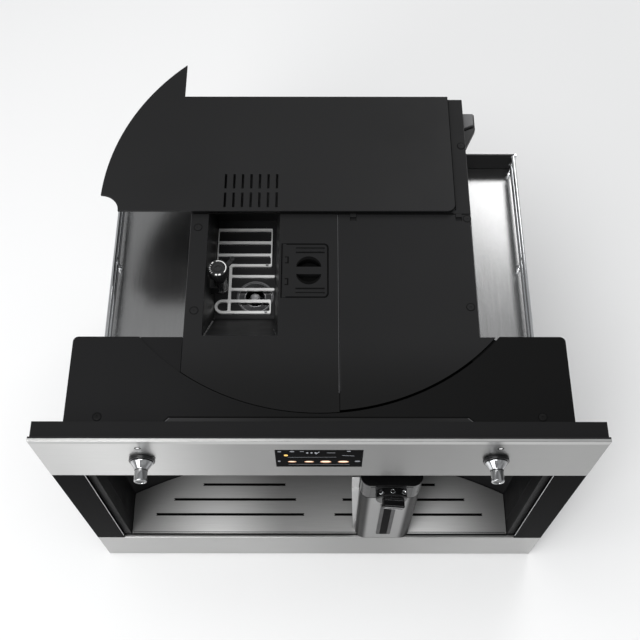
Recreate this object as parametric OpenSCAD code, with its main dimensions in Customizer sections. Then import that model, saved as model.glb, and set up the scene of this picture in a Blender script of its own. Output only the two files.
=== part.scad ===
// Built in coffee machine that slides out of its niche on telescopic runners.
// Origin: middle of the footprint, on the floor of the niche.
// X runs to the right, Y to the back of the niche and Z up.

/* [Fascia] */
// Width of the fascia
fascia_w = 595; // [580:1:620]
// Height of the fascia
fascia_h = 455; // [445:1:470]
// Thickness of the steel and glass face plates
face_t = 5; // [4:0.5:6]
// Height of the steel control band
band_h = 108; // [100:1:115]
// Height of the steel front of the drip tray
strip_h = 84; // [80:1:90]
// Width of each glass stile
stile_w = 36.5; // [30:0.5:38]
// Depth of the black carrier frame behind the face plates
frame_d = 17; // [12:1:20]
// How far the carrier frame stays inside the face plates
frame_inset = 1.7; // [1:0.1:3]
// Joint between two face plates
seam = 0.6; // [0.3:0.1:1]
// Width of the display glass
display_w = 92; // [80:1:110]
// Height of the display glass
display_h = 53; // [40:1:60]
// Rim of the carrier frame that the display glass sits on
display_rim = 2; // [1:0.5:3]

/* [Knobs] */
// Distance of each knob from the middle
knob_x = 188; // [150:1:215]
// Height of the knob axis above the lower edge of the control band
knob_rise = 55; // [45:1:60]
// How far a knob stands out of the fascia
knob_reach = 26; // [24:1:34]
// Radius of the black ring round a knob
ring_r = 14; // [13:0.5:16]
// How far the black ring stands out
ring_t = 4; // [2:0.5:5]
// Radius of the cone of a knob where it leaves the ring
cone_r = 12; // [10:0.5:12.5]
// Length of the cone of a knob
cone_l = 8; // [5:0.5:10]
// Radius of the grip of a knob
grip_r = 7; // [6:0.5:9]
// Rim round the hollow in the end of a knob
grip_rim = 1.8; // [1:0.1:2.5]
// Radius of the knob shaft
shaft_r = 3; // [2.5:0.1:3.5]
// Width, height and depth of the encoder behind a knob
encoder_s = 14; // [12:1:20]

/* [Body] */
// Distance from the fascia to the back of the body
body_y1 = 452; // [430:1:475]
// Distance of the side panels from the ends of the fascia
body_inset = 41.7; // [40:0.1:43]
// Thickness of the sheet steel
sheet = 1.5; // [1:0.1:2]
// Height of the base pan above the lower edge of the fascia
pan_z = 8; // [6:0.5:10]
// Depth of the side shelves below the deck
shelf_depth = 110; // [100:1:120]
// How far the deck stays below the upper edge of the fascia
deck_drop = 15; // [12:1:18]
// Thickness of the deck and the lids in it
deck_t = 4; // [3:0.5:5]
// Left side of the core
core_x0 = -148; // [-150:1:-146]
// Right side of the core
core_x1 = 175; // [172:1:178]
// How far the front housing stands out past the side panels
housing_over = 11.2; // [8:0.1:14]
// Depth of the front housing from the fascia
housing_y1 = 122; // [122:0.5:124]
// How far the top of the front housing reaches past its back wall
housing_lip = 4; // [2:0.5:5]
// Height of the hollow below the top of the front housing
housing_gap = 9; // [6:1:12]
// Corner radius of the top of the front housing
housing_corner = 6; // [3:1:10]

/* [Round seam in the top] */
// Distance from the fascia to the front of the round seam
arc_y0 = 36.5; // [34:0.5:40]
// Radius of the round seam
arc_r = 258.5; // [254:0.5:262]
// Width of the seam on the left
arc_seam = 0.8; // [0.5:0.1:1.5]
// Width of the finger gap on the right
finger_seam = 2.8; // [2:0.1:4]
// Half the width of the part inside the round seam
arc_half_w = 194; // [188:1:198]
// Depth of the step at the left end of the round seam
arc_step = 1; // [0.5:0.1:2]
// Half the length of the ledge behind the fascia
ledge_half_w = 160; // [130:1:190]
// Depth of the ledge
ledge_d = 6.5; // [4:0.5:8]
// Height of the ledge
ledge_h = 2.5; // [1.5:0.1:4]
// Slope at each end of the ledge
ledge_chamfer = 5; // [2:0.5:8]

/* [Dispensing bay] */
// Radius of the curved back wall of the bay
bay_r = 575; // [560:1:600]
// Depth of the bay from the fascia to the middle of the back wall
bay_d = 119.6; // [116:0.2:120]
// Half the width of the column behind the spout
column_half_w = 20; // [16:1:24]
// Distance from the fascia to the column
column_y = 86; // [80:1:92]
// Height of the foot of the column
column_z0 = 150; // [140:1:160]

/* [Spout] */
// Half the width of the spout head
spout_half_w = 22; // [18:1:22]
// Distance from the fascia to the spout head
spout_y0 = 48; // [42:1:54]
// Distance from the control band down to the foot of the spout head
spout_drop = 119; // [110:1:125]
// Height of the spout head
spout_h = 72; // [60:1:80]
// Distance of each nozzle from the middle
nozzle_x = 12; // [9:0.5:13]
// Radius of a nozzle
nozzle_r = 4; // [3.5:0.1:5]
// Radius of the hole in a nozzle
nozzle_bore_r = 2.2; // [1.5:0.1:2.5]
// Length of a nozzle below the spout head
nozzle_l = 12; // [8:1:16]

/* [Built-in frame and runners] */
// Gap between the floor of the niche and the fascia
floor_gap = 1.5; // [1:0.5:3]
// Depth of the floor plate
base_d = 482; // [470:1:510]
// Thickness of the floor plate
base_t = 2; // [1.5:0.1:2.5]
// Distance from the fascia frame to the floor plate
base_setback = 4; // [2:1:8]
// Spacing of the floor screws across the niche
screw_x = 400; // [300:1:440]
// Spacing of the floor screws along the niche
screw_y = 400; // [300:1:420]
// Radius of the floor screw holes
screw_r = 2.25; // [2:0.05:3]
// Length of the runners
runner_l = 410; // [380:1:420]
// Distance from the fascia frame to the runners
runner_setback = 12; // [8:1:20]
// Height of the underside of the runners
runner_z0 = 12; // [8:1:20]
// Height of a runner
runner_h = 45; // [40:1:55]
// Thickness of a runner across its three members
runner_w = 12.7; // [12:0.1:16]
// Wall of a runner member
runner_wall = 1.2; // [1:0.1:1.5]
// Thickness of the brackets that hold the runners
bracket_t = 2; // [1.5:0.1:2.5]
// Width of the foot of a bracket
foot_w = 20; // [15:1:26]

/* [Rear cover] */
// Left end of the straight front edge of the rear cover
cover_x0 = -233; // [-236:1:-230]
// Right side of the rear cover
cover_x1 = 157; // [150:1:162]
// Distance from the fascia to the front edge of the rear cover
cover_y0 = 285; // [283:1:288]
// Thickness of the rear cover
cover_t = 3; // [2.5:0.1:4]
// Height of the shadow gap below the rear cover
cover_gap = 3; // [2:0.5:4]
// Front right corner radius of the rear cover
cover_corner = 9; // [5:0.5:14]
// Distance of the middle of the curved wing from the middle line
wing_x = 21.8; // [19:0.2:24]
// Distance from the fascia to the middle of the curved wing
wing_y = 298.4; // [295:0.2:302]
// Radius of the curved wing
wing_r = 276.5; // [272:0.5:280]
// Distance of the straight inner side of the wing from the middle line
wing_tip_x = 165.5; // [150:0.5:180]
// Width of the rails below the rear cover
cover_rail = 4; // [3:0.5:6]
// Number of vent slots in a row
vent_n = 7; // [4:1:7]
// Spacing of the vent slots
vent_pitch = 10; // [8:0.5:10]
// Width of a vent slot
vent_w = 2.6; // [2:0.1:3.5]
// Length of a vent slot
vent_l = 20.5; // [15:0.5:22]
// Middle of the first vent slot
vent_x0 = -109.8; // [-112:0.2:-108]
// Distance from the front edge of the rear cover to the first row of vents
vent_setback = 5; // [4:0.5:8]
// Distance between the two rows of vents
vent_row_gap = 5.5; // [4:0.5:7]

/* [Bean hopper and grinder] */
// Distance of the hopper from the left side of the core
hopper_inset = 20; // [19:0.5:22]
// Width of the mouth of the hopper
hopper_w = 82.5; // [80:0.5:83]
// Distance from the fascia to the mouth of the hopper
hopper_y0 = 127.4; // [126.8:0.2:130]
// Length of the mouth of the hopper
hopper_l = 217.6; // [214:0.2:222]
// Wall of the hopper
hopper_wall = 1.8; // [1.5:0.1:2]
// Depth of the hopper below the deck
hopper_depth = 95; // [92:0.5:97]
// How far the floor of the hopper stays inside its left wall
hopper_draw_left = 1; // [0.5:0.1:1.5]
// How far the floor of the hopper stays inside its right wall
hopper_draw_right = 8.5; // [7:0.5:9]
// How far the floor of the hopper stays inside its front wall
hopper_draw_front = 68.6; // [60:0.2:70]
// How far the floor of the hopper stays inside its back wall
hopper_draw_back = 10; // [5:1:12]
// Thickness of the steel bean guard
guard_t = 3; // [2:0.5:3.5]
// Width of a bar of the bean guard
guard_bar = 4.2; // [3.5:0.1:5]
// Distance of the grinder from the middle line
grinder_x = -78; // [-79:0.5:-77]
// Distance from the fascia to the grinder
grinder_y = 226; // [224:1:228]
// Radius of the grinder housing
grinder_r = 27; // [25:0.5:28]
// Height of the grinder housing
grinder_h = 72; // [65:1:80]
// Radius of the upper burr
burr_r = 20.5; // [19:0.5:21]
// Radius of the eye of the upper burr
burr_eye_r = 12; // [11:0.5:13]
// Thickness of the upper burr
burr_t = 17; // [14:1:19]
// Radius of the lower burr
cone_burr_r = 15.4; // [14.5:0.1:16]
// Height of the skirt of the lower burr
cone_burr_h = 25; // [20:1:28]
// Radius of the grinder motor
motor_r = 25; // [22:0.5:26]
// Length of the grinder motor
motor_l = 80; // [70:1:90]

/* [Grind dial] */
// Distance of the dial from the middle line
dial_x = -115.2; // [-115.5:0.1:-115]
// Distance from the fascia to the dial
dial_y = 217; // [214:1:220]
// Radius of the dial
dial_r = 11.5; // [10:0.1:11.5]
// Thickness of the dial
dial_t = 12; // [9:0.5:13]
// How far the top of the dial stays below the deck
dial_drop = 8; // [7:0.5:10]
// Radius of the post that carries the dial
post_r = 7.5; // [6:0.5:8]
// Height of the post that carries the dial
post_h = 37; // [30:1:40]
// Height of the bracket that holds the post
post_bracket_h = 15; // [10:1:20]
// Length of the pointer arm
pointer_l = 25; // [20:1:28]
// Width of the pointer arm
pointer_w = 5; // [4:0.5:6]
// Thickness of the pointer arm
pointer_t = 3; // [2:0.5:4]

/* [Ground coffee lid and chute] */
// Left side of the lid
lid_x0 = -42.6; // [-43:0.1:-42]
// Width of the lid
lid_w = 52.6; // [50:0.2:56]
// Distance from the fascia to the lid
lid_y0 = 174.4; // [172:0.2:176]
// Length of the lid
lid_l = 69.6; // [68:0.2:72]
// Gap round the lid
lid_gap = 0.5; // [0.4:0.1:0.8]
// Corner radius of the lid
lid_corner = 5; // [3:0.5:6]
// Radius of the finger cup in the lid
cup_r = 15; // [13:0.5:16]
// Depth of the finger cup
cup_d = 9; // [8:0.5:10]
// Distance from the left side of the lid to the middle of the finger cup
cup_inset = 30.6; // [29:0.2:32]
// Width of the grip bar across the finger cup
cup_bar = 9.5; // [8:0.5:11]
// Radius of a hinge pin
pin_r = 1; // [0.8:0.1:1.2]
// Length of a hinge pin
pin_l = 3; // [2:0.5:4]
// Width of a rib on the lid
rib_w = 1.4; // [1:0.1:2]
// Height of a rib on the lid
rib_h = 0.5; // [0.3:0.1:0.8]
// Wall of the chute
chute_wall = 1.6; // [1.2:0.1:1.7]
// Side of the square throat of the chute
throat = 24; // [20:1:28]
// Depth of the top of the throat below the deck
throat_depth = 110; // [100:1:120]

/* [Brew unit] */
// Distance of the brew chamber from the middle line
brew_x = -12; // [-14:1:-10]
// Distance from the fascia to the brew chamber
brew_y = 209; // [207:1:211]
// Radius of the brew chamber
chamber_r = 20; // [18:0.5:22]
// Wall round the brew chamber
chamber_wall = 10; // [8:0.5:12]
// Length of the throat of the chute
throat_l = 71.7; // [68:0.1:74]
// Height of the brew chamber
chamber_h = 78; // [74:1:80]
// Thickness of the piston
piston_t = 12; // [8:1:14]
// Radius of the piston rod
rod_r = 6; // [5:0.5:7]
// Stroke of the piston
piston_stroke = 40; // [30:1:42]
// Half the width of the brew bench
bench_half_w = 110; // [105:1:120]
// Height of the brew bench
bench_z = 88; // [86:1:92]
// Thickness of the brew bench and its legs
bench_t = 4; // [3:0.5:5]

/* [Water tank] */
// Left side of the tank
tank_x0 = 33; // [31:1:36]
// Width of the tank
tank_w = 134; // [128:1:136]
// Distance from the fascia to the tank
tank_y0 = 147; // [145:1:150]
// Length of the tank
tank_l = 131; // [125:1:131]
// Gap between the deck and the rim of the tank
tank_drop = 7.7; // [7:0.1:10]
// Height of the tank
tank_h = 140; // [130:1:140]
// Wall of the tank
tank_wall = 2.5; // [2:0.1:3]
// Left side of the tank lid
tank_lid_x0 = 22; // [21:0.5:24]
// Distance from the hinge pin of the tank lid to its back edge
hinge_edge = 2; // [1.5:0.1:2]
// Width of a hinge lug on the tank
lug_w = 6; // [5:0.5:8]
// Distance of each hinge lug from the side of the tank
lug_inset = 3; // [2:0.5:6]
// Radius of the valve below the tank
valve_r = 5; // [4:0.5:6]
// Length of the valve below the tank
valve_l = 8; // [6:1:10]
// Height of the rim of the tank cradle
cradle_rim = 12; // [8:1:16]

/* [Side shelves] */
// Height of the wall at the back of a shelf
shelf_wall_h = 28; // [20:1:32]
// Distance from the back of the body to the shelf wall
shelf_wall_inset = 22; // [18:1:26]
// Radius of the chrome rails
rail_r = 2.5; // [2:0.1:3]
// Radius of the posts that carry the rails
rail_post_r = 2; // [1.5:0.1:2.2]
// Distance of the rails from the edge of a shelf
rail_inset = 5.8; // [5:0.1:8]
// Height of the lower rail above the shelf
rail_low = 15; // [12:1:16]
// Height of the upper rail above the shelf
rail_high = 30; // [26:1:34]

/* [Drip tray and grounds bin] */
// Thickness of the grille
grille_t = 2.5; // [2:0.1:3]
// Gap between the grille and the walls round it
grille_gap = 0.6; // [0.5:0.1:1]
// Gap between the grille and the steel front
grille_setback = 1.3; // [1:0.1:2]
// Width of a slot in the grille
slot_w = 2.2; // [2:0.1:3]
// Gap between the basin and the side of the bay
basin_gap = 3.5; // [2.5:0.5:8]
// Depth of the basin
basin_d = 107; // [100:1:107]
// Wall of the basin
basin_wall = 1.8; // [1.5:0.1:2.5]
// Height of the floor of the basin
basin_z0 = 12; // [10.5:0.5:14]
// Half the width of the grounds bin
bin_half_w = 90; // [80:1:95]
// Length of the grounds bin
bin_l = 128; // [110:1:135]
// Height of the grounds bin
bin_h = 64; // [55:1:66]

/* [Milk jug] */
// Left side of the jug
jug_x0 = 48; // [46:0.5:50]
// Width of the jug
jug_w = 72; // [64:1:74]
// Distance from the fascia to the jug
jug_y0 = 0.5; // [0.5:0.5:4]
// Length of the jug
jug_l = 99; // [90:1:100]
// Gap between the control band and the top of the jug
jug_gap = 40.1; // [38:0.1:46]
// Corner radius of the jug
jug_corner = 12; // [10:1:16]
// Wall of the jug
jug_wall = 1.8; // [1.5:0.1:2.5]
// Height of the jug lid
jug_lid_h = 44; // [42:1:46]
// Depth of the plug below the jug lid
plug_d = 10; // [6:1:14]
// Width of the level window
window_w = 18; // [14:1:20]
// Height of the level window
window_h = 115; // [100:1:120]
// Thickness of the bezel of the level window
window_t = 1.2; // [0.8:0.1:1.5]
// How far the top of the jug handle stands out
handle_w = 12; // [10:0.5:13]
// How far the foot of the jug handle stands out
handle_foot = 4; // [3:0.5:6]
// Depth of the jug handle
handle_d = 24; // [18:1:30]
// Height of the jug handle
handle_h = 164; // [140:1:170]
// Radius of the froth dial
froth_r = 17.5; // [15:0.5:18]
// Thickness of the froth dial
froth_t = 9.5; // [8:0.5:11]
// Width of the grip on the froth dial
froth_grip_w = 9; // [7:0.5:12]
// How far the grip stands out of the froth dial
froth_grip_t = 9.5; // [8:0.5:11]
// Radius of the milk spout
milk_r = 4; // [3:0.5:4.5]
// Radius of the milk tube that hangs in the jug
tube_r = 3; // [2.5:0.1:3.5]
// Reach of the milk spout to the left of the jug
milk_reach = 17; // [14:1:18]

/* [Hidden] */
$fn = 72;
// Overrun of every cut
cut = 1;
// Gap between pieces that move past each other
fit_gap = 0.3;
// Radial clearance of a shaft in its bore
running = 0.06;

// Places worked out from the sizes above
half_w = fascia_w / 2;
band_z0 = fascia_h - band_h;
stile_x0 = half_w - stile_w;
body_half_w = half_w - body_inset;
deck_z = fascia_h - deck_drop;
shelf_z = deck_z - shelf_depth;
housing_half_w = body_half_w + housing_over;
arc_y = arc_y0 + arc_r;
spout_z0 = band_z0 - spout_drop;
hopper_z0 = deck_z - hopper_depth;
throat_z = deck_z - throat_depth;
chamber_z1 = throat_z - throat_l - fit_gap;
chamber_z0 = chamber_z1 - chamber_h;
tank_z0 = deck_z - tank_drop - tank_h;
rail_x = body_half_w - rail_inset;
display_z = band_z0 + (band_h + seam) / 2 + seam * 3;
knob_z = band_z0 + knob_rise;
frame_y0 = face_t + fit_gap;
frame_y1 = frame_y0 + frame_d;
frame_top = fascia_h - frame_inset;
inner_half_w = body_half_w - sheet;
bay_half_w = inner_half_w - fit_gap - sheet;
basin_half_w = bay_half_w - basin_gap;
panel_y1 = body_y1 - sheet;
pan_top = pan_z + sheet;
shelf_under = shelf_z - sheet;
deck_under = deck_z - deck_t;
core_y0 = housing_y1 + seam;
subdeck_z = deck_under - housing_gap;
bay_y = bay_d - bay_r;
bay_top = band_z0 - fit_gap;
knob_axis_back = frame_y1 + fit_gap + encoder_s / 2;

base_y0 = frame_y1 + base_setback;
base_y1 = base_y0 + base_d;
base_top = base_t - floor_gap;
base_mid_y = (base_y0 + base_y1) / 2;
runner_x1 = body_half_w + runner_w;
runner_z1 = runner_z0 + runner_h;
runner_y0 = frame_y1 + runner_setback;
runner_y1 = runner_y0 + runner_l;
member_step = runner_wall + fit_gap;
base_half_w = runner_x1 + bracket_t;

wing_tip_y = wing_y + sqrt(pow(wing_r, 2) - pow(wing_tip_x + wing_x, 2));
mid_y = (max(base_y1, wing_tip_y) - knob_reach) / 2;

hopper_x0 = core_x0 + hopper_inset;
hopper_x1 = hopper_x0 + hopper_w;
hopper_y1 = hopper_y0 + hopper_l;
hopper_floor = hopper_z0 + hopper_wall;
hopper_fx0 = hopper_x0 + hopper_draw_left;
hopper_fx1 = hopper_x1 - hopper_draw_right;
hopper_fy0 = hopper_y0 + hopper_draw_front;
hopper_fy1 = hopper_y1 - hopper_draw_back;
guard_z0 = hopper_floor + fit_gap;
grinder_z1 = hopper_z0 - fit_gap;
grinder_z0 = grinder_z1 - grinder_h;
burr_z1 = grinder_z1 - seam;
burr_z0 = burr_z1 - burr_t;
cone_burr_z0 = burr_z0 - fit_gap - cone_burr_h;
motor_z1 = grinder_z0 - fit_gap;
motor_z0 = motor_z1 - motor_l;
dial_z1 = deck_z - dial_drop;
dial_z0 = dial_z1 - dial_t;
post_z1 = dial_z0 - fit_gap;
post_z0 = post_z1 - post_h;

lid_x1 = lid_x0 + lid_w;
lid_y1 = lid_y0 + lid_l;
lid_mid_y = (lid_y0 + lid_y1) / 2;
hinge_z = deck_z - deck_t / 2;
lid_hinge_x = lid_x0 + deck_t / 2;
cup_x = lid_x0 + cup_inset;

tank_x1 = tank_x0 + tank_w;
tank_y1 = tank_y0 + tank_l;
tank_z1 = tank_z0 + tank_h;
tank_mid_x = (tank_x0 + tank_x1) / 2;
tank_mid_y = (tank_y0 + tank_y1) / 2;
tank_lid_x1 = core_x1 - seam;
tank_lid_y1 = cover_y0 - 2 * seam;
tank_hinge_y = tank_lid_y1 - hinge_edge;
cradle_z1 = tank_z0 - fit_gap;
cradle_z0 = cradle_z1 - sheet;

grille_z1 = strip_h;
grille_z0 = grille_z1 - grille_t;
basin_z1 = grille_z0 - fit_gap;
basin_y1 = face_t + basin_d;
bin_y1 = basin_y1 + bin_l;

jug_z0 = strip_h + fit_gap;
jug_z1 = band_z0 - jug_gap - jug_lid_h;
jug_x1 = jug_x0 + jug_w;
jug_y1 = jug_y0 + jug_l;
jug_mid_x = (jug_x0 + jug_x1) / 2;
jug_lid_z0 = jug_z1 + fit_gap;
jug_lid_z1 = jug_lid_z0 + jug_lid_h;
froth_z = (jug_lid_z0 + jug_lid_z1) / 2 + seam;
froth_tilt = 12;

// Moves a shape from the fascia's frame to the part's own frame
module place() {
    translate([0, -mid_y, floor_gap]) children();
}

// A block between two corners
module block(x0, x1, y0, y1, z0, z1) {
    translate([x0, y0, z0]) cube([x1 - x0, y1 - y0, z1 - z0]);
}

// An upright cylinder
module pillar(x, y, z0, z1, r) {
    translate([x, y, z0]) cylinder(h = z1 - z0, r = r);
}

// A cylinder that runs from the left to the right
module rod_x(x0, x1, y, z, r) {
    translate([x0, y, z]) rotate([0, 90, 0]) cylinder(h = x1 - x0, r = r);
}

// A cylinder that runs from the front to the back
module rod_y(x, y0, y1, z, r) {
    translate([x, y0, z]) rotate([-90, 0, 0]) cylinder(h = y1 - y0, r = r);
}

// A rectangle with four round corners
module round_rect(x0, x1, y0, y1, r) {
    translate([x0 + r, y0]) square([x1 - x0 - 2 * r, y1 - y0]);
    translate([x0, y0 + r]) square([x1 - x0, y1 - y0 - 2 * r]);
    for (x = [x0 + r, x1 - r], y = [y0 + r, y1 - r]) translate([x, y]) circle(r = r);
}

// A flat shape raised between two heights
module slab(z0, z1) {
    translate([0, 0, z0]) linear_extrude(height = z1 - z0) children();
}

// A block whose floor is smaller than its mouth, given by its floor and its mouth
module funnel(fx0, fx1, fy0, fy1, z0, mx0, mx1, my0, my1, z1) {
    polyhedron(
        points = [[fx0, fy0, z0], [fx1, fy0, z0], [fx1, fy1, z0], [fx0, fy1, z0],
            [mx0, my0, z1], [mx1, my0, z1], [mx1, my1, z1], [mx0, my1, z1]],
        faces = [[0, 1, 2, 3], [7, 6, 5, 4], [0, 4, 5, 1], [1, 5, 6, 2], [2, 6, 7, 3], [3, 7, 4, 0]]);
}

// The same shape on the right and on the left
module both_sides() {
    children();
    mirror([1, 0, 0]) children();
}

// Built-in frame

module cabinet_base() {
    color("silver") place() difference() {
        block(-base_half_w, base_half_w, base_y0, base_y1, -floor_gap, base_top);
        for (sx = [-1, 1], sy = [-1, 1])
            pillar(sx * screw_x / 2, base_mid_y + sy * screw_y / 2, -floor_gap - cut,
                base_top + cut, screw_r);
    }
}

// A channel that is open to the left, the given number of members inside the outer one
module channel(step, x0) {
    inset = step * member_step;
    x1 = runner_x1 - inset;
    difference() {
        block(x0, x1, runner_y0, runner_y1, runner_z0 + inset, runner_z1 - inset);
        block(x0 - cut, x1 - runner_wall, runner_y0 - cut, runner_y1 + cut,
            runner_z0 + inset + runner_wall, runner_z1 - inset - runner_wall);
    }
}

module outer_member() {
    channel(0, body_half_w + 2 * member_step);
    block(runner_x1, runner_x1 + bracket_t, runner_y0, runner_y1, base_top, runner_z1);
    block(runner_x1 - foot_w, runner_x1, runner_y0, runner_y1, base_top, base_top + bracket_t);
}

module mid_member() {
    channel(1, body_half_w + 2 * member_step);
}

module inner_member() {
    inset = 2 * member_step;
    x1 = runner_x1 - inset;
    difference() {
        block(body_half_w, x1, runner_y0, runner_y1, runner_z0 + inset, runner_z1 - inset);
        block(body_half_w + runner_wall, x1 + cut, runner_y0 - cut, runner_y1 + cut,
            runner_z0 + inset + runner_wall, runner_z1 - inset - runner_wall);
    }
}

module runner_outer_left() { color("silver") place() mirror([1, 0, 0]) outer_member(); }
module runner_outer_right() { color("silver") place() outer_member(); }
module runner_mid_left() { color("lightgray") place() mirror([1, 0, 0]) mid_member(); }
module runner_mid_right() { color("lightgray") place() mid_member(); }
module runner_inner_left() { color("gainsboro") place() mirror([1, 0, 0]) inner_member(); }
module runner_inner_right() { color("gainsboro") place() inner_member(); }

// Lower body

module base_pan() {
    color("dimgray") place()
        block(-inner_half_w, inner_half_w, frame_y1, panel_y1, pan_z, pan_top);
}

// A side panel has upright vent slots near its back
side_vent_l = 45;
side_vent_w = 4;
side_vent_pitch = 12;
side_vent_n = 8;
side_vent_z = 150;
side_vent_inset = 130;

module side_panel() {
    difference() {
        union() {
            block(inner_half_w, body_half_w, frame_y1, panel_y1, pan_z, shelf_under);
            block(inner_half_w, body_half_w, frame_y1, housing_y1, shelf_under, bay_top);
        }
        for (i = [0 : side_vent_n - 1])
            block(inner_half_w - cut, body_half_w + cut,
                panel_y1 - side_vent_inset + i * side_vent_pitch,
                panel_y1 - side_vent_inset + i * side_vent_pitch + side_vent_w,
                side_vent_z, side_vent_z + side_vent_l);
    }
}

module side_panel_left() { color("#303033") place() mirror([1, 0, 0]) side_panel(); }
module side_panel_right() { color("#303033") place() side_panel(); }

// The mains inlet and its switch sit low on the left of the rear panel
inlet_x0 = -240;
inlet_w = 50;
inlet_z0 = 50;
inlet_h = 30;
inlet_d = 22;
inlet_flange = 2;
inlet_lip = 4;
socket_w = 26;
socket_h = 18;
socket_d = 16;
earth_w = 2;
earth_h = 4;
switch_gap = 16;
switch_w = 22;
switch_h = 16;
switch_d = 10;
switch_proud = 2;
switch_x0 = inlet_x0 + inlet_w + switch_gap;
switch_z = inlet_z0 + inlet_h / 2;

module rear_panel() {
    color("#303033") place() difference() {
        union() {
            block(-body_half_w, body_half_w, panel_y1, body_y1, pan_z, shelf_under);
            block(core_x0, core_x1, panel_y1, body_y1, shelf_under, deck_under);
        }
        block(inlet_x0, inlet_x0 + inlet_w, panel_y1 - cut, body_y1 + cut, inlet_z0,
            inlet_z0 + inlet_h);
        block(switch_x0 - fit_gap, switch_x0 + switch_w + fit_gap, panel_y1 - cut, body_y1 + cut,
            switch_z - switch_h / 2 - seam, switch_z + switch_h / 2 + seam);
    }
}

module power_inlet() {
    middle = inlet_x0 + inlet_w / 2;
    outside = body_y1 + inlet_flange;
    color("#18181a") place() {
        difference() {
            union() {
                block(inlet_x0, inlet_x0 + inlet_w, body_y1 - inlet_d, body_y1, inlet_z0,
                    inlet_z0 + inlet_h);
                block(inlet_x0 - inlet_lip, inlet_x0 + inlet_w + inlet_lip, body_y1, outside,
                    inlet_z0 - inlet_lip, inlet_z0 + inlet_h + inlet_lip);
            }
            block(middle - socket_w / 2, middle + socket_w / 2, outside - socket_d, outside + cut,
                switch_z - socket_h / 2, switch_z + socket_h / 2);
        }
        for (i = [-1 : 1])
            block(middle + i * socket_w / 4 - earth_w / 2, middle + i * socket_w / 4 + earth_w / 2,
                outside - socket_d, outside - earth_h,
                switch_z + earth_h / 2, switch_z + 3 * earth_h / 2);
    }
}

module power_switch() {
    color("#202024") place() intersection() {
        block(switch_x0, switch_x0 + switch_w, body_y1 - switch_d, body_y1 + switch_proud,
            switch_z - switch_h, switch_z + switch_h);
        rod_x(switch_x0 - cut, switch_x0 + switch_w + cut, body_y1 - sheet / 2, switch_z,
            switch_h / 2);
    }
}

// Fascia

module front_frame() {
    color("#1c1c1e") place() difference() {
        block(-half_w + frame_inset, half_w - frame_inset, frame_y0, frame_y1, frame_inset,
            frame_top);
        block(-bay_half_w, bay_half_w, frame_y0 - cut, frame_y1 + cut, pan_top + seam, band_z0);
        block(-display_w / 2 + display_rim, display_w / 2 - display_rim, frame_y0 - cut,
            frame_y1 + cut, display_z - display_h / 2 + display_rim,
            display_z + display_h / 2 - display_rim);
        both_sides() rod_y(knob_x, frame_y0 - cut, frame_y1 + cut, knob_z, shaft_r + fit_gap);
    }
}

module fascia_band() {
    color("#c8c8c6") place() difference() {
        block(-half_w, half_w, 0, face_t, band_z0, fascia_h);
        block(-display_w / 2 - fit_gap, display_w / 2 + fit_gap, -cut, face_t + cut,
            display_z - display_h / 2 - fit_gap, display_z + display_h / 2 + fit_gap);
        both_sides() rod_y(knob_x, -cut, face_t + cut, knob_z, shaft_r + fit_gap);
    }
}

module fascia_stiles() {
    color("#0c0c0e") place()
        both_sides() block(stile_x0, half_w, 0, face_t, strip_h + seam, band_z0 - seam);
}

module display_glass() {
    color("#08080a") place()
        block(-display_w / 2, display_w / 2, 0, face_t, display_z - display_h / 2,
            display_z + display_h / 2);
}

// The control board sits behind the display, with its chips at the back
board_t = 1.6;
chip_t = 3;
chip_share = 0.22;

module control_board() {
    y0 = frame_y1 + fit_gap;
    chip = display_h * chip_share;
    board_half_h = display_h / 2 - housing_gap;
    color("darkgreen") place() {
        block(-display_w / 2, display_w / 2, y0, y0 + board_t, display_z - board_half_h,
            display_z + board_half_h);
        for (i = [-1 : 1])
            block(i * 2 * chip - chip / 2, i * 2 * chip + chip / 2, y0 + board_t,
                y0 + board_t + chip_t, display_z - chip / 2, display_z + chip / 2);
    }
}

module knob_bezels() {
    color("#101012") place() both_sides() difference() {
        rod_y(knob_x, -ring_t, 0, knob_z, ring_r);
        rod_y(knob_x, -ring_t - cut, cut, knob_z, shaft_r + fit_gap);
    }
}

module knob_encoders() {
    y0 = frame_y1 + fit_gap;
    color("#707070") place() both_sides() difference() {
        block(knob_x - encoder_s / 2, knob_x + encoder_s / 2, y0, y0 + encoder_s,
            knob_z - encoder_s / 2, knob_z + encoder_s / 2);
        rod_y(knob_x, y0 - cut, knob_axis_back + fit_gap, knob_z, shaft_r + running);
    }
}

// A knob turned about its axis, seated on its ring, with its shaft to the back
module knob() {
    seat = ring_t + fit_gap;
    hollow = grip_r - grip_rim;
    translate([0, 0, knob_z]) rotate([90, 0, 0]) rotate_extrude()
        polygon([[0, -knob_axis_back], [shaft_r, -knob_axis_back], [shaft_r, seat],
            [cone_r, seat], [cone_r, seat + grip_rim / 2], [grip_r, seat + cone_l],
            [grip_r, knob_reach - grip_rim / 2], [grip_r - grip_rim / 2, knob_reach],
            [hollow, knob_reach], [hollow - grip_rim / 2, knob_reach - grip_rim],
            [0, knob_reach - grip_rim]]);
}

module knob_left() { color("gainsboro") place() translate([-knob_x, 0, 0]) knob(); }
module knob_right() { color("gainsboro") place() translate([knob_x, 0, 0]) knob(); }

// Front housing and dispensing bay

housing_post_r = 5;
housing_post_inset = 35;

module front_housing() {
    color("#262628") place() {
        difference() {
            block(-housing_half_w, housing_half_w, frame_y1, housing_y1, band_z0, deck_under);
            block(-housing_half_w + sheet, housing_half_w - sheet, frame_y1 - cut,
                housing_y1 - sheet, band_z0 + sheet, subdeck_z - sheet);
            block(-housing_half_w + sheet, housing_half_w - sheet, frame_y1 - cut,
                housing_y1 + cut, subdeck_z, deck_under + cut);
        }
        both_sides() pillar(housing_half_w - housing_post_inset, housing_y1 - housing_post_inset,
            subdeck_z, deck_under, housing_post_r);
    }
}

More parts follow.
